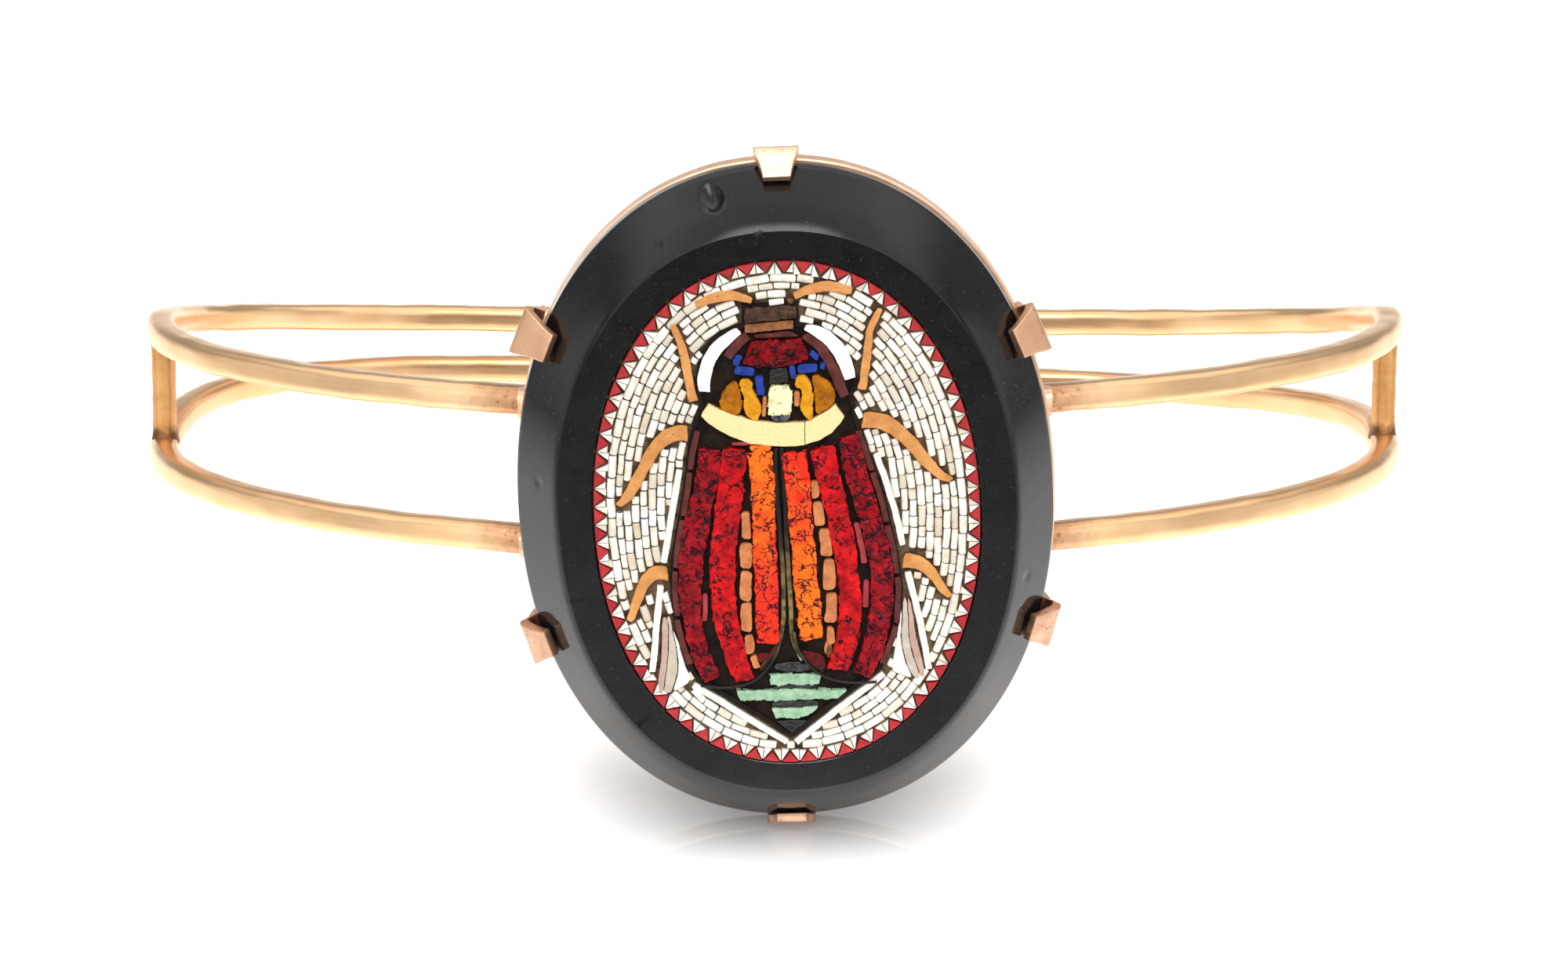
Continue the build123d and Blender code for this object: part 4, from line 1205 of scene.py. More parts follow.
def border_tree(name, tooth, material, shift, seed):
    tree, given = start_tree(name, {"Teeth": TEETH, "Height": 0.0})
    order = add_node(tree, "GeometryNodeInputIndex").outputs[0]
    share = sum_up(tree, "DIVIDE", sum_up(tree, "ADD", order, shift), given.outputs["Teeth"])
    edge = {"Curves": given.outputs["Geometry"], "Factor": share}
    edge = add_node(tree, "GeometryNodeSampleCurve", edge, use_all_curves=True).outputs
    spots = add_node(tree, "GeometryNodePoints", {"Count": given.outputs["Teeth"]}).outputs[0]
    lift = add_node(tree, "ShaderNodeCombineXYZ", {"Z": given.outputs["Height"]}).outputs[0]
    spots = {"Geometry": spots, "Position": edge["Position"], "Offset": lift}
    spots = add_node(tree, "GeometryNodeSetPosition", spots).outputs[0]
    facing = add_node(
        tree, "FunctionNodeAlignRotationToVector", {"Vector": edge["Tangent"]}, axis="X", pivot_axis="Z"
    ).outputs[0]
    sizes = {0: (0.88, 0.86, 0.9), 1: (1.05, 1.12, 1.06), "Seed": seed}
    sizes = add_node(tree, "FunctionNodeRandomValue", sizes, data_type="FLOAT_VECTOR").outputs[0]
    laid = set_on_points(tree, spots, tooth, facing, sizes)
    tones = add_node(tree, "FunctionNodeRandomValue", {2: 0.0, 3: 1.0, "Seed": seed + 5}, data_type="FLOAT")
    toned = add_node(
        tree, "GeometryNodeStoreNamedAttribute",
        {"Geometry": laid, "Name": "tone", "Value": tones.outputs[1]}, data_type="FLOAT", domain="INSTANCE",
    )
    end_tree(tree, toned.outputs[0], material)
    return tree


def red_glass_finish():
    material, tree, shader, where = start_finish("red_glass")
    reds = [(0.0, (0.36, 0.018, 0.022)), (1.0, (0.52, 0.035, 0.038))]
    base = grey_ramp(tree, tone_of(tree, "tone"), reds)
    # Here the mask is wear only: darker worn patches of the red glass.
    wear_and_painted_glint = grey_ramp(tree, cloudy(tree, where, 0.3, 4), [(0.45, 0.0), (0.75, 0.5)])
    colour = blend_colours(tree, wear_and_painted_glint, base, (0.12, 0.01, 0.012))
    feed(tree, shader, {"Base Color": colour, "Roughness": 0.4, "Specular IOR Level": 0.3})
    dent(tree, shader, cloudy(tree, where, 0.2, 4), 0.04, 0.6)
    return material


RED_GLASS = red_glass_finish()


def make_teeth(name, corners, material, shift, seed):
    tooth = tooth_shape(name + "_one", corners)
    tree = border_tree(name + "_tree", tooth, material, shift, seed)
    edge = route_curve([Vector((*oval(MOSAIC_WIDE, MOSAIC_TALL, i / 720), 0)) for i in range(720)])
    edge.data.splines[0].use_cyclic_u = True
    made = run_tree(name, edge, tree, {"Height": TEETH_FROM}, STONE)
    bpy.data.objects.remove(tooth)
    return made


half_base = 0.5 * (PITCH - TOOTH_APART)
red_corners = [(-half_base, 0.02), (half_base, 0.02), (0.0, TOOTH_DEEP)]
red_teeth = make_teeth("red_teeth", red_corners, RED_GLASS, 0.5, 11)
left_corners = [(-SPLIT, 0.06), (-SPLIT, 0.58), (-0.35, 0.57)]
left_teeth = make_teeth("white_teeth_left", left_corners, WHITE_GLASS, 0.0, 21)
right_corners = [(SPLIT, 0.06), (0.35, 0.57), (SPLIT, 0.58)]
right_teeth = make_teeth("white_teeth_right", right_corners, WHITE_GLASS, 0.0, 22)
for piece, slot in ((red_teeth, "red_glass"), (left_teeth, "white_glass"), (right_teeth, "white_glass")):
    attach(piece, "root")
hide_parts("red_border")

# %% [markdown]
# The beetle is cut from larger pieces of coloured glass. Their outlines are already in the solids,
# so each solid is copied and its long edges are nudged until it looks hand-cut. It is then remeshed
# finely, which rounds its rim, and a small tree gives the glass its surface: tilted facets where it
# was broken rather than ground, and a fine grain all over.

# %% Cut pieces from the solids
VOXEL = 0.04
EVEN_TONE = 0.7
SUNK, GROWN = 0.45, 0.035
TOP_FROM = FACE_HIGH - 0.3
LONG_EDGE, EDGE_STEP = 0.35, 0.3
PUTTY_FATTER, PUTTY_TOP = 0.06, FACE_HIGH - 0.05


def copy_solid(node):
    """The solid's mesh with its triangles merged into whole faces, in millimetres on the stone."""
    shape = solid_on_stone(node)
    bmesh.ops.remove_doubles(shape, verts=shape.verts, dist=1e-4)
    bmesh.ops.dissolve_limit(
        shape, angle_limit=math.radians(1), verts=shape.verts, edges=shape.edges,
        use_dissolve_boundaries=False,
    )
    return shape


def relief_tree():
    sizes = {"Facet Tilt": 0.2, "Facets per mm": 1.6, "Grain": 0.02, "Lump": 0.05, "Lumps per mm": 1.1}
    tree, given = start_tree("glass_relief", sizes)
    size = given.outputs
    place = add_node(tree, "GeometryNodeInputPosition").outputs[0]
    cells = {"Vector": place, "Scale": size["Facets per mm"], "Randomness": 1.0}
    cells = add_node(tree, "ShaderNodeTexVoronoi", cells).outputs
    tilt = vector_step(tree, "SUBTRACT", cells["Color"], (0.5, 0.5, 0.5))
    from_middle = vector_step(tree, "SUBTRACT", place, cells["Position"])
    slope = vector_step(tree, "DOT_PRODUCT", tilt, from_middle, gives="Value")
    facets = sum_up(tree, "MULTIPLY", slope, size["Facet Tilt"])
    grain = add_node(tree, "ShaderNodeTexNoise", {"Vector": place, "Scale": 5.0, "Detail": 3.0})
    grain = sum_up(tree, "SUBTRACT", grain.outputs["Fac"], 0.5)
    height = sum_up(tree, "ADD", sum_up(tree, "MULTIPLY", grain, size["Grain"]), facets)
    outward = add_node(tree, "GeometryNodeInputNormal").outputs[0]
    offset = vector_step(tree, "SCALE", outward, scale=height)
    moved = add_node(tree, "GeometryNodeSetPosition", {"Geometry": size["Geometry"], "Offset": offset})
    smooth = waver(tree, moved.outputs[0], size["Lump"], size["Lumps per mm"])
    tree.links.new(smooth, tree.nodes.new("NodeGroupOutput").inputs[0])
    return tree


RELIEF = relief_tree()


def carve(made, relief):
    """Remeshes an object finely and gives it the glass relief, as a plain mesh put in place."""
    fine = made.modifiers.new("fine", "REMESH")
    fine.mode, fine.voxel_size = "VOXEL", VOXEL
    put_tree(made, RELIEF, relief)
    material = made.data.materials[0]
    mesh = plain_mesh(made)
    made.modifiers.clear()
    made.data = mesh
    mesh.materials.clear()
    mesh.materials.append(material)
    keep_on_points(mesh, "tone", [EVEN_TONE] * len(mesh.vertices))
    keep_on_points(mesh, "up", [point.co.y / MOSAIC_TALL for point in mesh.vertices])
    mesh.transform(STONE)


def cut_piece(node, material, uneven, raised, relief):
    """A solid's copy with uneven edges, grown a little sideways and sunk in the putty."""
    shape = copy_solid(node)
    flat = [edge for edge in shape.edges if abs(edge.verts[0].co.z - edge.verts[1].co.z) < 0.01]
    for edge in [edge for edge in flat if edge.calc_length() > LONG_EDGE]:
        bmesh.ops.subdivide_edges(shape, edges=[edge], cuts=int(edge.calc_length() / EDGE_STEP))
    shape.normal_update()
    outward = [corner.normal.copy() for corner in shape.verts]
    for corner, way in zip(shape.verts, outward):
        spot = Vector((corner.co.x, corner.co.y, 0)) * 2.1 + Vector((3, 1, len(node)))
        shift = noise.noise_vector(spot) * uneven + Vector((way.x, way.y, 0)).normalized() * GROWN
        on_top = corner.co.z > TOP_FROM
        corner.co += Vector((shift.x, shift.y, raised if on_top else 0))
        if not on_top:
            corner.co.z = FACE_HIGH - SUNK
    mesh = bpy.data.meshes.new(node)
    shape.to_mesh(mesh)
    shape.free()
    mesh.materials.append(material)
    finish_piece(mesh, node, relief)


def finish_piece(mesh, node, relief):
    made = place_object("cut_" + mesh.name, mesh)
    carve(made, relief)
    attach(made, "root")
    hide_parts(node)


def putty_round(nodes):
    """One piece: fatter, lower copies of the solids in putty."""
    whole = bmesh.new()
    for node in nodes:
        shape = copy_solid(node)
        shape.normal_update()
        outward = [(corner, corner.normal.copy()) for corner in shape.verts]
        for corner, way in outward:
            flat = Vector((way.x, way.y, 0))
            corner.co += flat.normalized() * PUTTY_FATTER if flat.length > 1e-4 else flat
            if corner.co.z > TOP_FROM:
                corner.co.z = PUTTY_TOP
        mesh = bpy.data.meshes.new("putty_copy")
        shape.to_mesh(mesh)
        whole.from_mesh(mesh)
        bpy.data.meshes.remove(mesh)
        shape.free()
    mesh = bpy.data.meshes.new("putty_round_limbs")
    whole.to_mesh(mesh)
    whole.free()
    mesh.transform(STONE)
    mesh.materials.append(LIMB_PUTTY)
    made = place_object("putty_round_limbs", mesh)
    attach(made, "root")
    print("putty round", len(nodes), "solids")


limbs = ("antenna", "front_leg", "middle_leg", "hind_leg", "wing_tip")
putty_round([f"{side}_{limb}" for limb in limbs for side in ("left", "right")])

# %% [markdown]
# Each colour of glass has its own habit. The tan and brown pieces are matte and pitted. The crimson
# ones are glossy and veined with black. The orange wings are crazed all over with fine dark cracks,
# and the collar and the square on the neck are gold leaf under clear glass. One function makes them
# all, from a table of tones, pits, veins and cracks.

# %% Glass finishes of the beetle
def threads(tree, where, size, width, gaps):
    """Thin wandering lines, broken here and there: the cracks and smoke inside old glass."""
    away = away_from(tree, cloudy(tree, where, size, 5, 0.62, 0.4), 0.5)
    line = grey_ramp(tree, away, [(width * 0.3, 1.0), (width, 0.0)])
    broken = grey_ramp(tree, cloudy(tree, where, size * 0.8, 3), [(gaps, 0.0), (gaps + 0.1, 1.0)])
    return sum_up(tree, "MULTIPLY", line, broken)


def crackle(tree, where, size, width, gaps):
    """A net of fine cracks, bent a little and broken here and there."""
    bend = add_node(tree, "ShaderNodeTexNoise", {"Vector": where, "Scale": 2 / size, "Detail": 3.0})
    bend = vector_step(tree, "SCALE", bend.outputs["Color"], scale=size * 0.9)
    cells = {"Vector": vector_step(tree, "ADD", where, bend), "Scale": 1 / size}
    cells = add_node(tree, "ShaderNodeTexVoronoi", cells, feature="DISTANCE_TO_EDGE")
    line = grey_ramp(tree, cells.outputs["Distance"], [(width * 0.4, 1.0), (width, 0.0)])
    broken = grey_ramp(tree, cloudy(tree, where, size * 1.5, 3), [(gaps, 0.0), (gaps + 0.08, 1.0)])
    return sum_up(tree, "MULTIPLY", line, broken)


def beetle_glass(
    name, deep, light, rough, size,
    veins=None, crazed=None, pits=0.3, bump=0.5, gloss=0.14, fade=None,
):
    """A glass finish. veins is (colour, share) of dark smoke in it, crazed the colour of its cracks,
    and fade the heights on the stone between which it turns from deep to light."""
    material, tree, shader, where = start_finish(name)
    streaks = cloudy(tree, where, size, 4, 0.6)
    if fade:
        faded = spread_out(tree, tone_of(tree, "up"), *fade)
        shift = sum_up(tree, "MULTIPLY", sum_up(tree, "SUBTRACT", faded, 0.5), 0.5)
        streaks = sum_up(tree, "ADD", streaks, shift)
    colour = grey_ramp(tree, streaks, [(0.3, deep), (0.7, light)])
    if veins:
        smoke, share = veins
        smoky = cloudy(tree, where, 0.42, 7, 0.75, 0.9)
        patch = grey_ramp(tree, smoky, [(share, 0.0), (share + 0.05, 0.95)])
        colour = blend_colours(tree, patch, colour, smoke)
        colour = blend_colours(tree, crackle(tree, where, 0.5, 0.11, 0.5), colour, smoke)
    if crazed:
        for cell, width, gaps in ((0.6, 0.07, 0.42), (0.3, 0.09, 0.5)):
            colour = blend_colours(tree, crackle(tree, where, cell, width, gaps), colour, crazed)
    specks = grey_ramp(tree, cloudy(tree, where, 0.12, 3), [(0.66, 0.0), (0.72, pits)])
    colour = blend_colours(tree, specks, colour, tuple(tone * 0.25 for tone in deep))
    feed(tree, shader, {"Base Color": colour, "Roughness": rough, "Specular IOR Level": gloss})
    first = dent(tree, shader, cloudy(tree, where, 0.16, 4, 0.6), 0.04, bump)
    dent(tree, shader, cloudy(tree, where, 0.6, 3), 0.12, bump, first)
    return material


BLACK_CRACK = (0.06, 0.005, 0.012)
ORANGE = ((0.86, 0.030, 0.010), (1.0, 0.17, 0.010), 0.2, 0.7)
GLASS = {
    # key: name, deep tone, light tone, roughness, size of its streaks
    "tan": beetle_glass("tan_glass", (0.50, 0.20, 0.055), (0.76, 0.36, 0.12), 0.6, 1.0, pits=0.8),
    "copper": beetle_glass("copper_glass", (0.40, 0.125, 0.045), (0.68, 0.26, 0.10), 0.5, 0.45, pits=0.6),
    "brown": beetle_glass("brown_glass", (0.06, 0.016, 0.013), (0.15, 0.035, 0.03), 0.5, 0.6),
    "head": beetle_glass(
        "head_glass", (0.010, 0.005, 0.003), (0.10, 0.040, 0.020), 0.1, 0.3, pits=0.6, bump=0.8, gloss=0.3
    ),
    "head_band": beetle_glass(
        "head_band_glass", (0.14, 0.05, 0.018), (0.36, 0.15, 0.06), 0.35, 0.4, pits=0.6
    ),
    "pure_white": beetle_glass(
        "pure_white_glass", (0.88, 0.87, 0.84), (0.95, 0.94, 0.92), 0.3, 1.2, pits=0.05
    ),
    "ruby": beetle_glass(
        "ruby_glass", (0.02, 0.001, 0.002), (0.36, 0.003, 0.008), 0.08, 0.4,
        veins=((0.010, 0.001, 0.002), 0.54),
    ),
    "outer_red": beetle_glass(
        "outer_wing_glass", (0.09, 0.001, 0.005), (0.46, 0.005, 0.012), 0.12, 0.6,
        veins=((0.010, 0.002, 0.005), 0.51),
    ),
    "inner_red": beetle_glass(
        "inner_wing_glass", (0.15, 0.002, 0.005), (0.78, 0.007, 0.010), 0.12, 0.6,
        veins=((0.02, 0.002, 0.004), 0.57),
    ),
    "left_orange": beetle_glass(
        "left_orange_glass", *ORANGE, crazed=BLACK_CRACK, pits=0.1, fade=(-0.35, 0.25)
    ),
    "right_orange": beetle_glass(
        "right_orange_glass", *ORANGE, crazed=BLACK_CRACK, pits=0.1, fade=(0.25, -0.35)
    ),
    "blue": beetle_glass("blue_glass", (0.012, 0.026, 0.17), (0.028, 0.075, 0.42), 0.2, 0.4),
    "amber": beetle_glass("amber_glass", (0.24, 0.07, 0.002), (0.55, 0.19, 0.005), 0.2, 0.6, pits=0.5),
    "amber_core": beetle_glass("amber_core_glass", (0.56, 0.22, 0.006), (0.80, 0.38, 0.02), 0.22, 0.4),
    "black": beetle_glass("black_glass", (0.005, 0.005, 0.005), (0.014, 0.012, 0.011), 0.2, 0.5, gloss=0.4),
    "pink": beetle_glass("dark_pink_glass", (0.26, 0.025, 0.035), (0.42, 0.06, 0.07), 0.4, 0.5),
    "dark_red": beetle_glass("dark_red_glass", (0.035, 0.004, 0.004), (0.14, 0.012, 0.010), 0.2, 0.35),
    "brown_sliver": beetle_glass("brown_sliver_glass", (0.05, 0.018, 0.006), (0.26, 0.10, 0.04), 0.25, 0.3),
    "green": beetle_glass("green_glass", (0.20, 0.37, 0.23), (0.43, 0.60, 0.42), 0.25, 0.35, pits=0.3),
    "stone_plate": beetle_glass(
        "black_plate_glass", (0.005, 0.005, 0.006), (0.02, 0.02, 0.02), 0.12, 0.4, gloss=0.5
    ),
    "smoke": beetle_glass("smoke_glass", (0.03, 0.03, 0.035), (0.22, 0.22, 0.24), 0.15, 0.3),
    "shell_pink": beetle_glass("pink_shell", (0.42, 0.27, 0.22), (0.56, 0.39, 0.33), 0.4, 0.5, pits=0.4),
    "shell_grey": beetle_glass("grey_shell", (0.46, 0.39, 0.31), (0.60, 0.52, 0.43), 0.4, 0.5, pits=0.4),
    "shell_white": beetle_glass("white_shell", (0.70, 0.67, 0.62), (0.84, 0.81, 0.77), 0.35, 0.5, pits=0.3),
}
print("beetle glasses:", len(GLASS))

# %% [markdown]
# Gold leaf under glass is metallic, pale, wrinkled and cracked. The wrinkles are a sharp-edged noise
# used for both colour and bump. The collar is the same leaf on a smoother glass, with one crack
# right through it. The two seams are blackened wire, with a painted gold glint in patches half-way down.

# %% Gold leaf and the seams
SEAM_FOOT, SEAM_HEAD = 9.0, 18.0


def gold_leaf_finish(name, crinkle, light, deep, cracked=0.0, crack_at=None):
    """Wrinkled gold leaf. cracked is how wide its dark wrinkles are, crack_at the place of one crack."""
    material, tree, shader, where = start_finish(name)
    folds = {"Vector": where, "Scale": 1 / crinkle, "Randomness": 1.0}
    folds = add_node(tree, "ShaderNodeTexVoronoi", folds, feature="F1").outputs["Distance"]
    rough_folds = sum_up(tree, "ADD", folds, cloudy(tree, where, crinkle, 5, 0.7))
    tone = grey_ramp(tree, rough_folds, [(0.3, deep), (0.8, light)])
    lost = grey_ramp(tree, cloudy(tree, where, 0.09, 4), [(0.64, 0.0), (0.72, 0.7)])
    colour = blend_colours(tree, lost, tone, (0.30, 0.20, 0.07))
    if cracked:
        colour = blend_colours(tree, threads(tree, where, 0.7, cracked, 0.4), colour, (0.20, 0.13, 0.05))
    if crack_at is not None:
        across = add_node(tree, "ShaderNodeSeparateXYZ", {"Vector": where}).outputs["X"]
        jagged = sum_up(tree, "ADD", across, sum_up(tree, "MULTIPLY", cloudy(tree, where, 0.3), 0.12))
        crack = grey_ramp(tree, away_from(tree, jagged, crack_at), [(0.015, 1.0), (0.03, 0.0)])
        colour = blend_colours(tree, crack, colour, (0.05, 0.03, 0.01))
    feed(tree, shader, {"Base Color": colour, "Metallic": 0.12, "Roughness": 0.35})
    dent(tree, shader, rough_folds, 0.06, 0.6)
    return material


def seam_finish():
    """Blackened wire with a painted gold glint, in patches, in the middle of its height."""
    material, tree, shader, where = start_finish("blackened_wire")
    height = add_node(tree, "ShaderNodeSeparateXYZ", {"Vector": where}).outputs["Z"]
    up_the_seam = spread_out(tree, height, SEAM_FOOT, SEAM_HEAD)
    # Painted glint: between these heights the black wire is mixed with gold, in patches.
    wear_and_painted_glint = grey_ramp(tree, up_the_seam, [(0.12, 0.0), (0.35, 0.75), (0.6, 0.5), (0.8, 0.0)])
    patchy = grey_ramp(tree, cloudy(tree, where, 0.4, 4), [(0.4, 0.2), (0.6, 1.0)])
    wear_and_painted_glint = sum_up(tree, "MULTIPLY", wear_and_painted_glint, patchy)
    colour = blend_colours(tree, wear_and_painted_glint, (0.015, 0.013, 0.011), (0.42, 0.30, 0.10))
    feed(tree, shader, {"Base Color": colour, "Metallic": 0.6, "Roughness": 0.4})
    dent(tree, shader, cloudy(tree, where, 0.2, 4), 0.04, 0.5)
    return material


LEAF_TONES = ((1.0, 0.97, 0.52), (0.96, 0.84, 0.36))
COLLAR_TONES = ((1.0, 0.73, 0.35), (0.78, 0.50, 0.18))
GLASS["leaf"] = gold_leaf_finish("crumpled_gold_leaf", 0.3, *LEAF_TONES, cracked=0.016)
GLASS["collar"] = gold_leaf_finish("collar_gold_leaf", 0.12, *COLLAR_TONES, crack_at=0.85)
GLASS["seam"] = seam_finish()
print("gold leaf made")

# %% [markdown]
# Now the beetle is set. A table says for each solid which glass it is cut from, how uneven its edges
# are, how far it stands out and how its surface broke: smooth, wavy or in facets.

# %% Set the beetle
GLASS["ground_white"] = WHITE_GLASS
SMOOTH = {"Facet Tilt": 0.0, "Grain": 0.015, "Lump": 0.05}
WAVY = {"Facet Tilt": 0.05, "Grain": 0.03, "Lump": 0.10}
BROKEN = {"Facet Tilt": 0.34, "Facets per mm": 2.2, "Grain": 0.06, "Lump": 0.14}
BEETLE = [
    # glass, unevenness, raised, relief, the solids that are cut so
    ("tan", 0.05, 0.03, WAVY, ["left_antenna", "right_antenna", "left_front_leg"]),
    ("tan", 0.06, 0.03, WAVY, ["right_front_leg"]),
    ("tan", 0.05, 0.03, WAVY, ["left_middle_leg", "right_middle_leg", "left_hind_leg", "right_hind_leg"]),
    ("ground_white", 0.03, -0.02, SMOOTH, ["white_rods"]),
    ("pure_white", 0.04, 0.08, SMOOTH, ["left_cheek", "right_cheek"]),
    ("head", 0.06, 0.1, BROKEN, ["head"]),
    ("head_band", 0.06, 0.06, WAVY, ["head_band"]),
    ("brown", 0.05, 0.0, WAVY, ["neck"]),
    ("brown", 0.04, 0.05, WAVY, ["left_shoulder", "right_shoulder"]),
    ("brown", 0.03, 0.02, SMOOTH, ["left_edging", "right_edging"]),
    ("ruby", 0.09, 0.06, BROKEN, ["shield"]),
    ("blue", 0.09, 0.03, WAVY, ["blue_chips"]),
    ("black", 0.08, -0.02, BROKEN, ["black_block"]),
    ("leaf", 0.1, 0.08, BROKEN, ["gold_leaf"]),
    ("copper", 0.05, 0.0, SMOOTH, ["copper_chips"]),
    ("collar", 0.06, 0.08, SMOOTH, ["collar"]),
    ("outer_red", 0.1, 0.08, BROKEN, ["left_outer_wing", "right_outer_wing"]),
    ("inner_red", 0.08, 0.08, BROKEN, ["left_inner_wing", "right_inner_wing"]),
    ("left_orange", 0.09, 0.08, BROKEN, ["left_gold_wing"]),
    ("right_orange", 0.09, 0.08, BROKEN, ["right_gold_wing"]),
    ("seam", 0.02, 0.0, SMOOTH, ["left_seam", "right_seam"]),
    ("copper", 0.08, 0.02, WAVY, ["left_beads", "right_beads"]),
    ("pink", 0.05, 0.0, SMOOTH, ["dark_slivers"]),
    ("green", 0.1, 0.02, BROKEN, ["tail_bars"]),
    ("black", 0.06, 0.0, WAVY, ["tail_tip"]),
]
for glass, uneven, raised, relief, nodes in BEETLE:
    for node in nodes:
        cut_piece(node, GLASS[glass], uneven, raised, relief)
print("beetle pieces:", sum(len(row[-1]) for row in BEETLE))

# %% [markdown]
# Some pieces of the beetle are chips with no straight side: the two amber halves with their yellow
# cores, the wing tips in three layers of shell, and slips of glass that fill a gap. Each has its
# outline in millimetres on the stone, measured from the mosaic's centre, and its corners are rounded
# before it is carved.

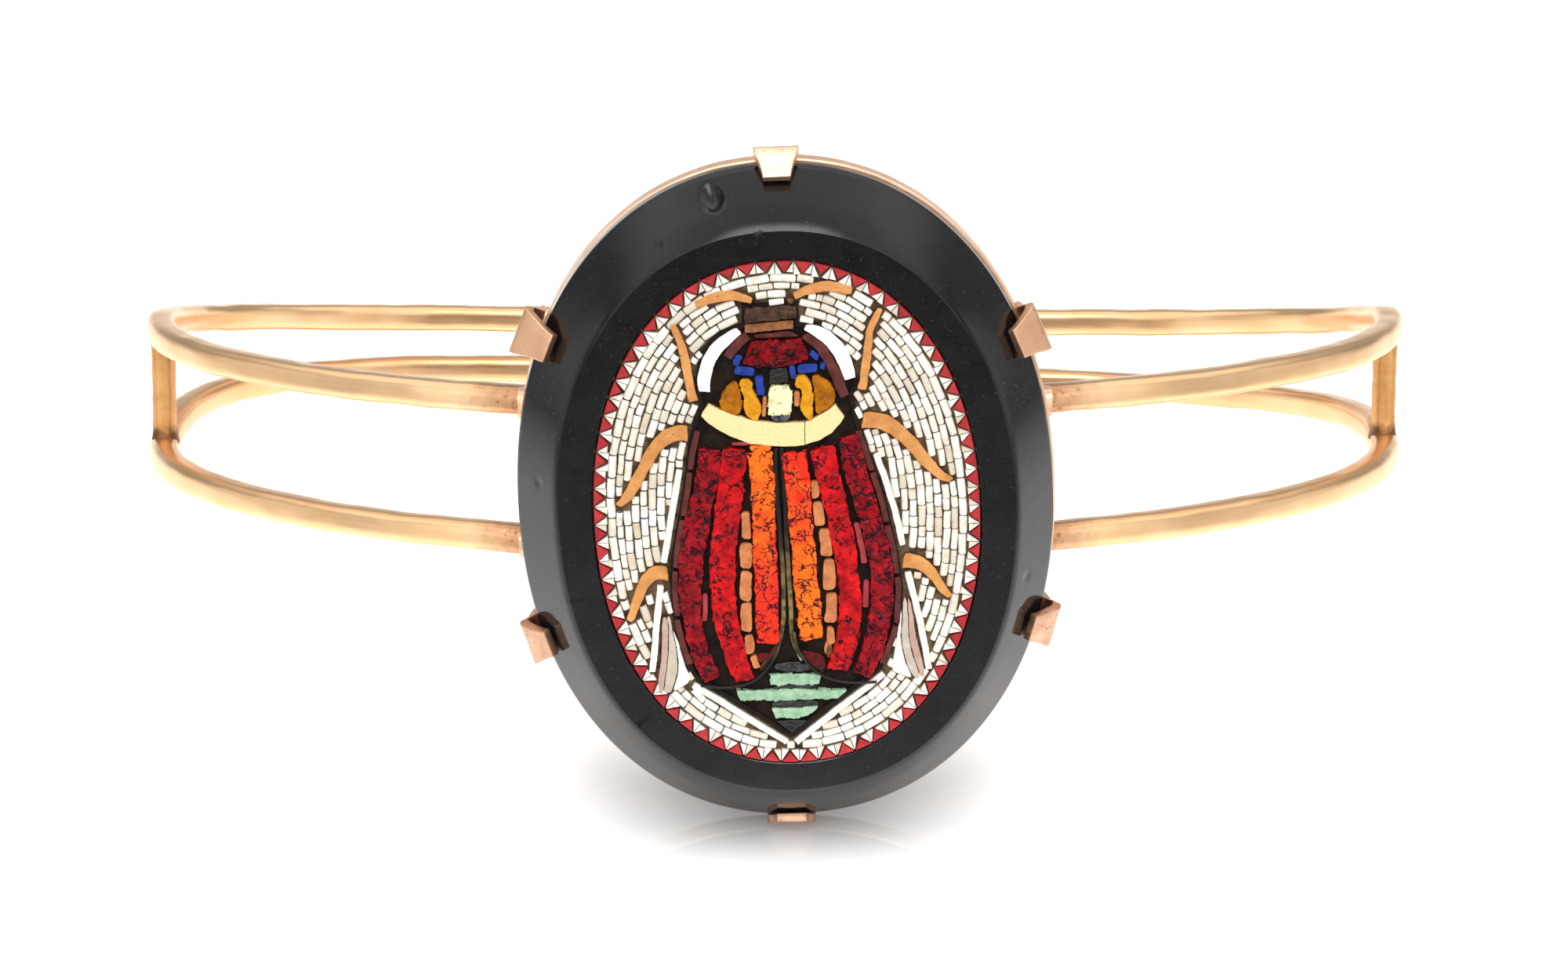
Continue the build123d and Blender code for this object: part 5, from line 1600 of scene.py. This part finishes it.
# %% Chips with outlines of their own
CHIP_STANDS = 0.08
CHIPS_BY_OUTLINE = [
    # name, glass, node that it belongs with, raised, outline
    ("left_amber", "amber", "left_amber", 0.02, [
        (-2.33, 6.5), (-2.8, 6.15), (-3.1, 5.6), (-3.08, 5.1), (-2.8, 4.8), (-2.4, 4.8), (-2.1, 5.1),
        (-2.12, 5.75),
    ]),
    ("left_amber_core", "amber_core", "left_amber_core", 0.1, [
        (-2.19, 6.55), (-1.83, 6.6), (-1.57, 6.35), (-1.65, 6.1), (-1.43, 5.7), (-1.2, 5.25), (-1.2, 4.9),
        (-1.4, 4.55), (-1.72, 4.65), (-1.94, 4.9), (-2.02, 5.3), (-2.05, 5.8), (-2.22, 6.2),
    ]),
    ("right_amber_core", "amber_core", "right_amber_core", 0.1, [
        (0.35, 6.65), (0.74, 6.8), (1.0, 6.5), (1.12, 6.05), (1.18, 5.5), (1.18, 5.0), (1.08, 4.55),
        (0.72, 4.8), (0.55, 5.25), (0.66, 5.75), (0.6, 6.15), (0.35, 6.2),
    ]),
    ("right_amber", "amber", "right_amber", 0.02, [
        (1.03, 6.75), (1.55, 6.65), (2.0, 6.3), (2.22, 5.85), (2.18, 5.45), (1.95, 5.2), (1.6, 5.05),
        (1.45, 4.8), (1.25, 5.0), (1.24, 5.55), (1.18, 6.1),
    ]),
    ("smoke_under_leaf", "smoke", "gold_leaf", 0.0, [
        (-0.8, 4.95), (-0.1, 5.0), (0.2, 4.85), (0.0, 4.5), (-0.65, 4.5),
    ]),
    ("slip_by_neck", "brown_sliver", "head", -0.03, [
        (-0.06, 10.36), (0.24, 10.32), (0.22, 10.05), (-0.06, 10.08),
    ]),
    ("pink_slip", "pink", "left_inner_wing", 0.06, [
        (-2.6, 3.52), (-1.2, 3.6), (-1.2, 3.44), (-2.55, 3.36),
    ]),
    ("orange_flap", "left_orange", "left_gold_wing", 0.12, [
        (-1.85, 3.42), (-0.7, 3.4), (-0.8, 3.15), (-1.2, 2.95), (-1.6, 3.1),
    ]),
    ("green_slip", "green", "tail_bars", -0.05, [(0.33, -6.4), (0.47, -6.4), (0.75, -7.1), (0.62, -7.15)]),
    ("copper_slip", "copper", "right_beads", -0.04, [
        (1.8, -6.05), (2.1, -6.05), (2.05, -6.8), (1.72, -6.75),
    ]),
    ("left_wing_end", "dark_red", "left_gold_wing", 0.0, [
        (-1.44, -6.68), (-0.9, -6.73), (-0.59, -6.41), (-0.41, -6.19), (-0.44, -6.62), (-0.9, -7.05),
        (-1.32, -7.22),
    ]),
    ("left_sliver", "brown_sliver", "left_beads", -0.02, [
        (-1.26, -7.32), (-0.8, -6.89), (-0.67, -6.97), (-0.95, -7.43), (-1.21, -7.59),
    ]),
    ("right_wing_end", "dark_red", "right_gold_wing", 0.0, [
        (0.67, -6.51), (1.06, -6.68), (1.73, -6.75), (1.84, -7.49), (1.48, -7.54), (1.06, -7.16),
        (0.75, -6.78),
    ]),
    ("brown_under_copper", "brown_sliver", "right_beads", -0.03, [
        (1.79, -6.32), (2.1, -6.24), (2.15, -6.89), (1.84, -6.97),
    ]),
    ("left_tip_pink", "shell_pink", "left_wing_tip", 0.0, [
        (-5.79, -4.95), (-5.63, -4.91), (-5.51, -5.3), (-5.5, -6.01), (-5.54, -6.78), (-5.61, -7.48),
        (-5.69, -8.11), (-5.77, -8.62), (-5.96, -8.67), (-6.0, -8.11), (-5.89, -7.27), (-5.79, -6.22),
        (-5.8, -5.3),
    ]),
    ("left_tip_grey", "shell_grey", "left_wing_tip", 0.0, [
        (-5.61, -4.9), (-5.43, -4.9), (-5.34, -5.37), (-5.23, -5.94), (-5.12, -6.57), (-5.07, -7.2),
        (-5.12, -7.76), (-5.25, -8.25), (-5.38, -8.6), (-5.74, -8.62), (-5.66, -8.11), (-5.58, -7.48),
        (-5.51, -6.78), (-5.47, -6.01), (-5.48, -5.3),
    ]),
    ("left_tip_white", "shell_white", "left_wing_tip", 0.0, [
        (-5.31, -5.44), (-5.05, -6.08), (-4.85, -6.78), (-4.71, -7.41), (-4.44, -7.9), (-4.68, -8.25),
        (-5.35, -8.59), (-5.22, -8.25), (-5.08, -7.76), (-5.03, -7.2), (-5.08, -6.57), (-5.2, -5.94),
    ]),
    ("right_tip_white", "shell_white", "right_wing_tip", 0.0, [
        (5.23, -4.6), (5.34, -4.6), (5.32, -5.3), (5.31, -6.01), (5.38, -6.64), (5.55, -7.27),
        (5.91, -7.97), (5.44, -7.83), (4.97, -7.62), (4.91, -7.41), (4.97, -6.85), (5.05, -6.29),
        (5.19, -5.59),
    ]),
    ("right_tip_grey", "shell_grey", "right_wing_tip", 0.0, [
        (5.37, -4.04), (5.55, -4.04), (5.61, -4.88), (5.65, -5.73), (5.75, -6.5), (5.98, -7.2),
        (6.25, -7.97), (5.95, -7.97), (5.58, -7.27), (5.41, -6.64), (5.34, -6.01), (5.36, -5.3),
    ]),
    ("right_tip_pink", "shell_pink", "right_wing_tip", 0.0, [
        (5.58, -4.04), (5.71, -4.11), (5.85, -4.88), (5.98, -5.66), (6.12, -6.36), (6.32, -7.06),
        (6.42, -7.76), (6.28, -7.97), (6.02, -7.2), (5.78, -6.5), (5.68, -5.73), (5.65, -4.88),
    ]),
    ("plate_one", "stone_plate", "tail_tip", -0.05, [
        (-0.6, -7.15), (1.25, -7.15), (1.3, -7.62), (-0.6, -7.62),
    ]),
    ("plate_two", "stone_plate", "tail_tip", -0.05, [
        (-0.75, -8.28), (1.45, -8.26), (1.5, -8.46), (-0.75, -8.48),
    ]),
    ("plate_three", "stone_plate", "tail_tip", -0.05, [
        (-0.8, -9.05), (1.6, -9.0), (1.35, -9.32), (-0.65, -9.4),
    ]),
]


def eased(points, closed):
    """An outline, or an open line whose ends stay, with its corners cut off twice over."""
    for _ in range(2):
        after = points[1:] + points[:1] if closed else points[1:]
        cut = [here.lerp(there, share) for here, there in zip(points, after) for share in (0.25, 0.75)]
        points = cut if closed else points[:1] + cut + points[-1:]
    return points


def chip_piece(name, glass, node, raised, outline, relief):
    ring = eased([Vector(corner) for corner in outline], closed=True)
    top = FACE_HIGH + CHIP_STANDS + raised
    points = [(x, y, FACE_HIGH - SUNK) for x, y in ring] + [(x, y, top) for x, y in ring]
    mesh = bpy.data.meshes.new(name)
    mesh.from_pydata(points, [], rings_to_faces(2, len(ring)))
    mesh.materials.append(GLASS[glass])
    finish_piece(mesh, node, relief)


for name, glass, node, raised, outline in CHIPS_BY_OUTLINE:
    relief = BROKEN if "amber" in glass or "plate" in name else WAVY
    chip_piece(name, glass, node, raised, outline, relief)
faces = sum(len(piece.data.polygons) for piece in bpy.data.objects if piece.name.startswith("cut_"))
print("chips:", len(CHIPS_BY_OUTLINE), "faces of the beetle:", faces)

# %% [markdown]
# Two blackened wires curl out from the foot of the seams and run under the ends of the wings. They
# are swept by the same tree as the hoops, with a round section and thinner.

# %% Wires round the tail
TAIL_WIRES = {
    "left_tail_wire": [
        (-0.25, -5.6), (-0.31, -6.1), (-0.5, -6.75), (-0.95, -7.5), (-1.57, -8.1), (-2.7, -8.4),
        (-4.0, -8.25),
    ],
    "right_tail_wire": [
        (0.33, -5.6), (0.4, -6.2), (0.75, -6.95), (1.5, -7.75), (2.65, -8.15), (4.2, -8.1),
    ],
}
TAIL_WIRE_HIGH = FACE_HIGH + 0.16
TAIL_WIRE_SIZES = {"Tall": 0.13, "Deep": 0.13, "Waver": 0.04}
section = wire_section(2.0, 12)
TAIL_TREE = wire_tree(section, 0.1, GLASS["seam"])
for name, corners in TAIL_WIRES.items():
    route = eased([Vector((x, y, TAIL_WIRE_HIGH)) for x, y in corners], closed=False)
    tail_wire = run_tree(name, route_curve(route), TAIL_TREE, TAIL_WIRE_SIZES, STONE)
    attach(tail_wire, "root")
bpy.data.objects.remove(section)
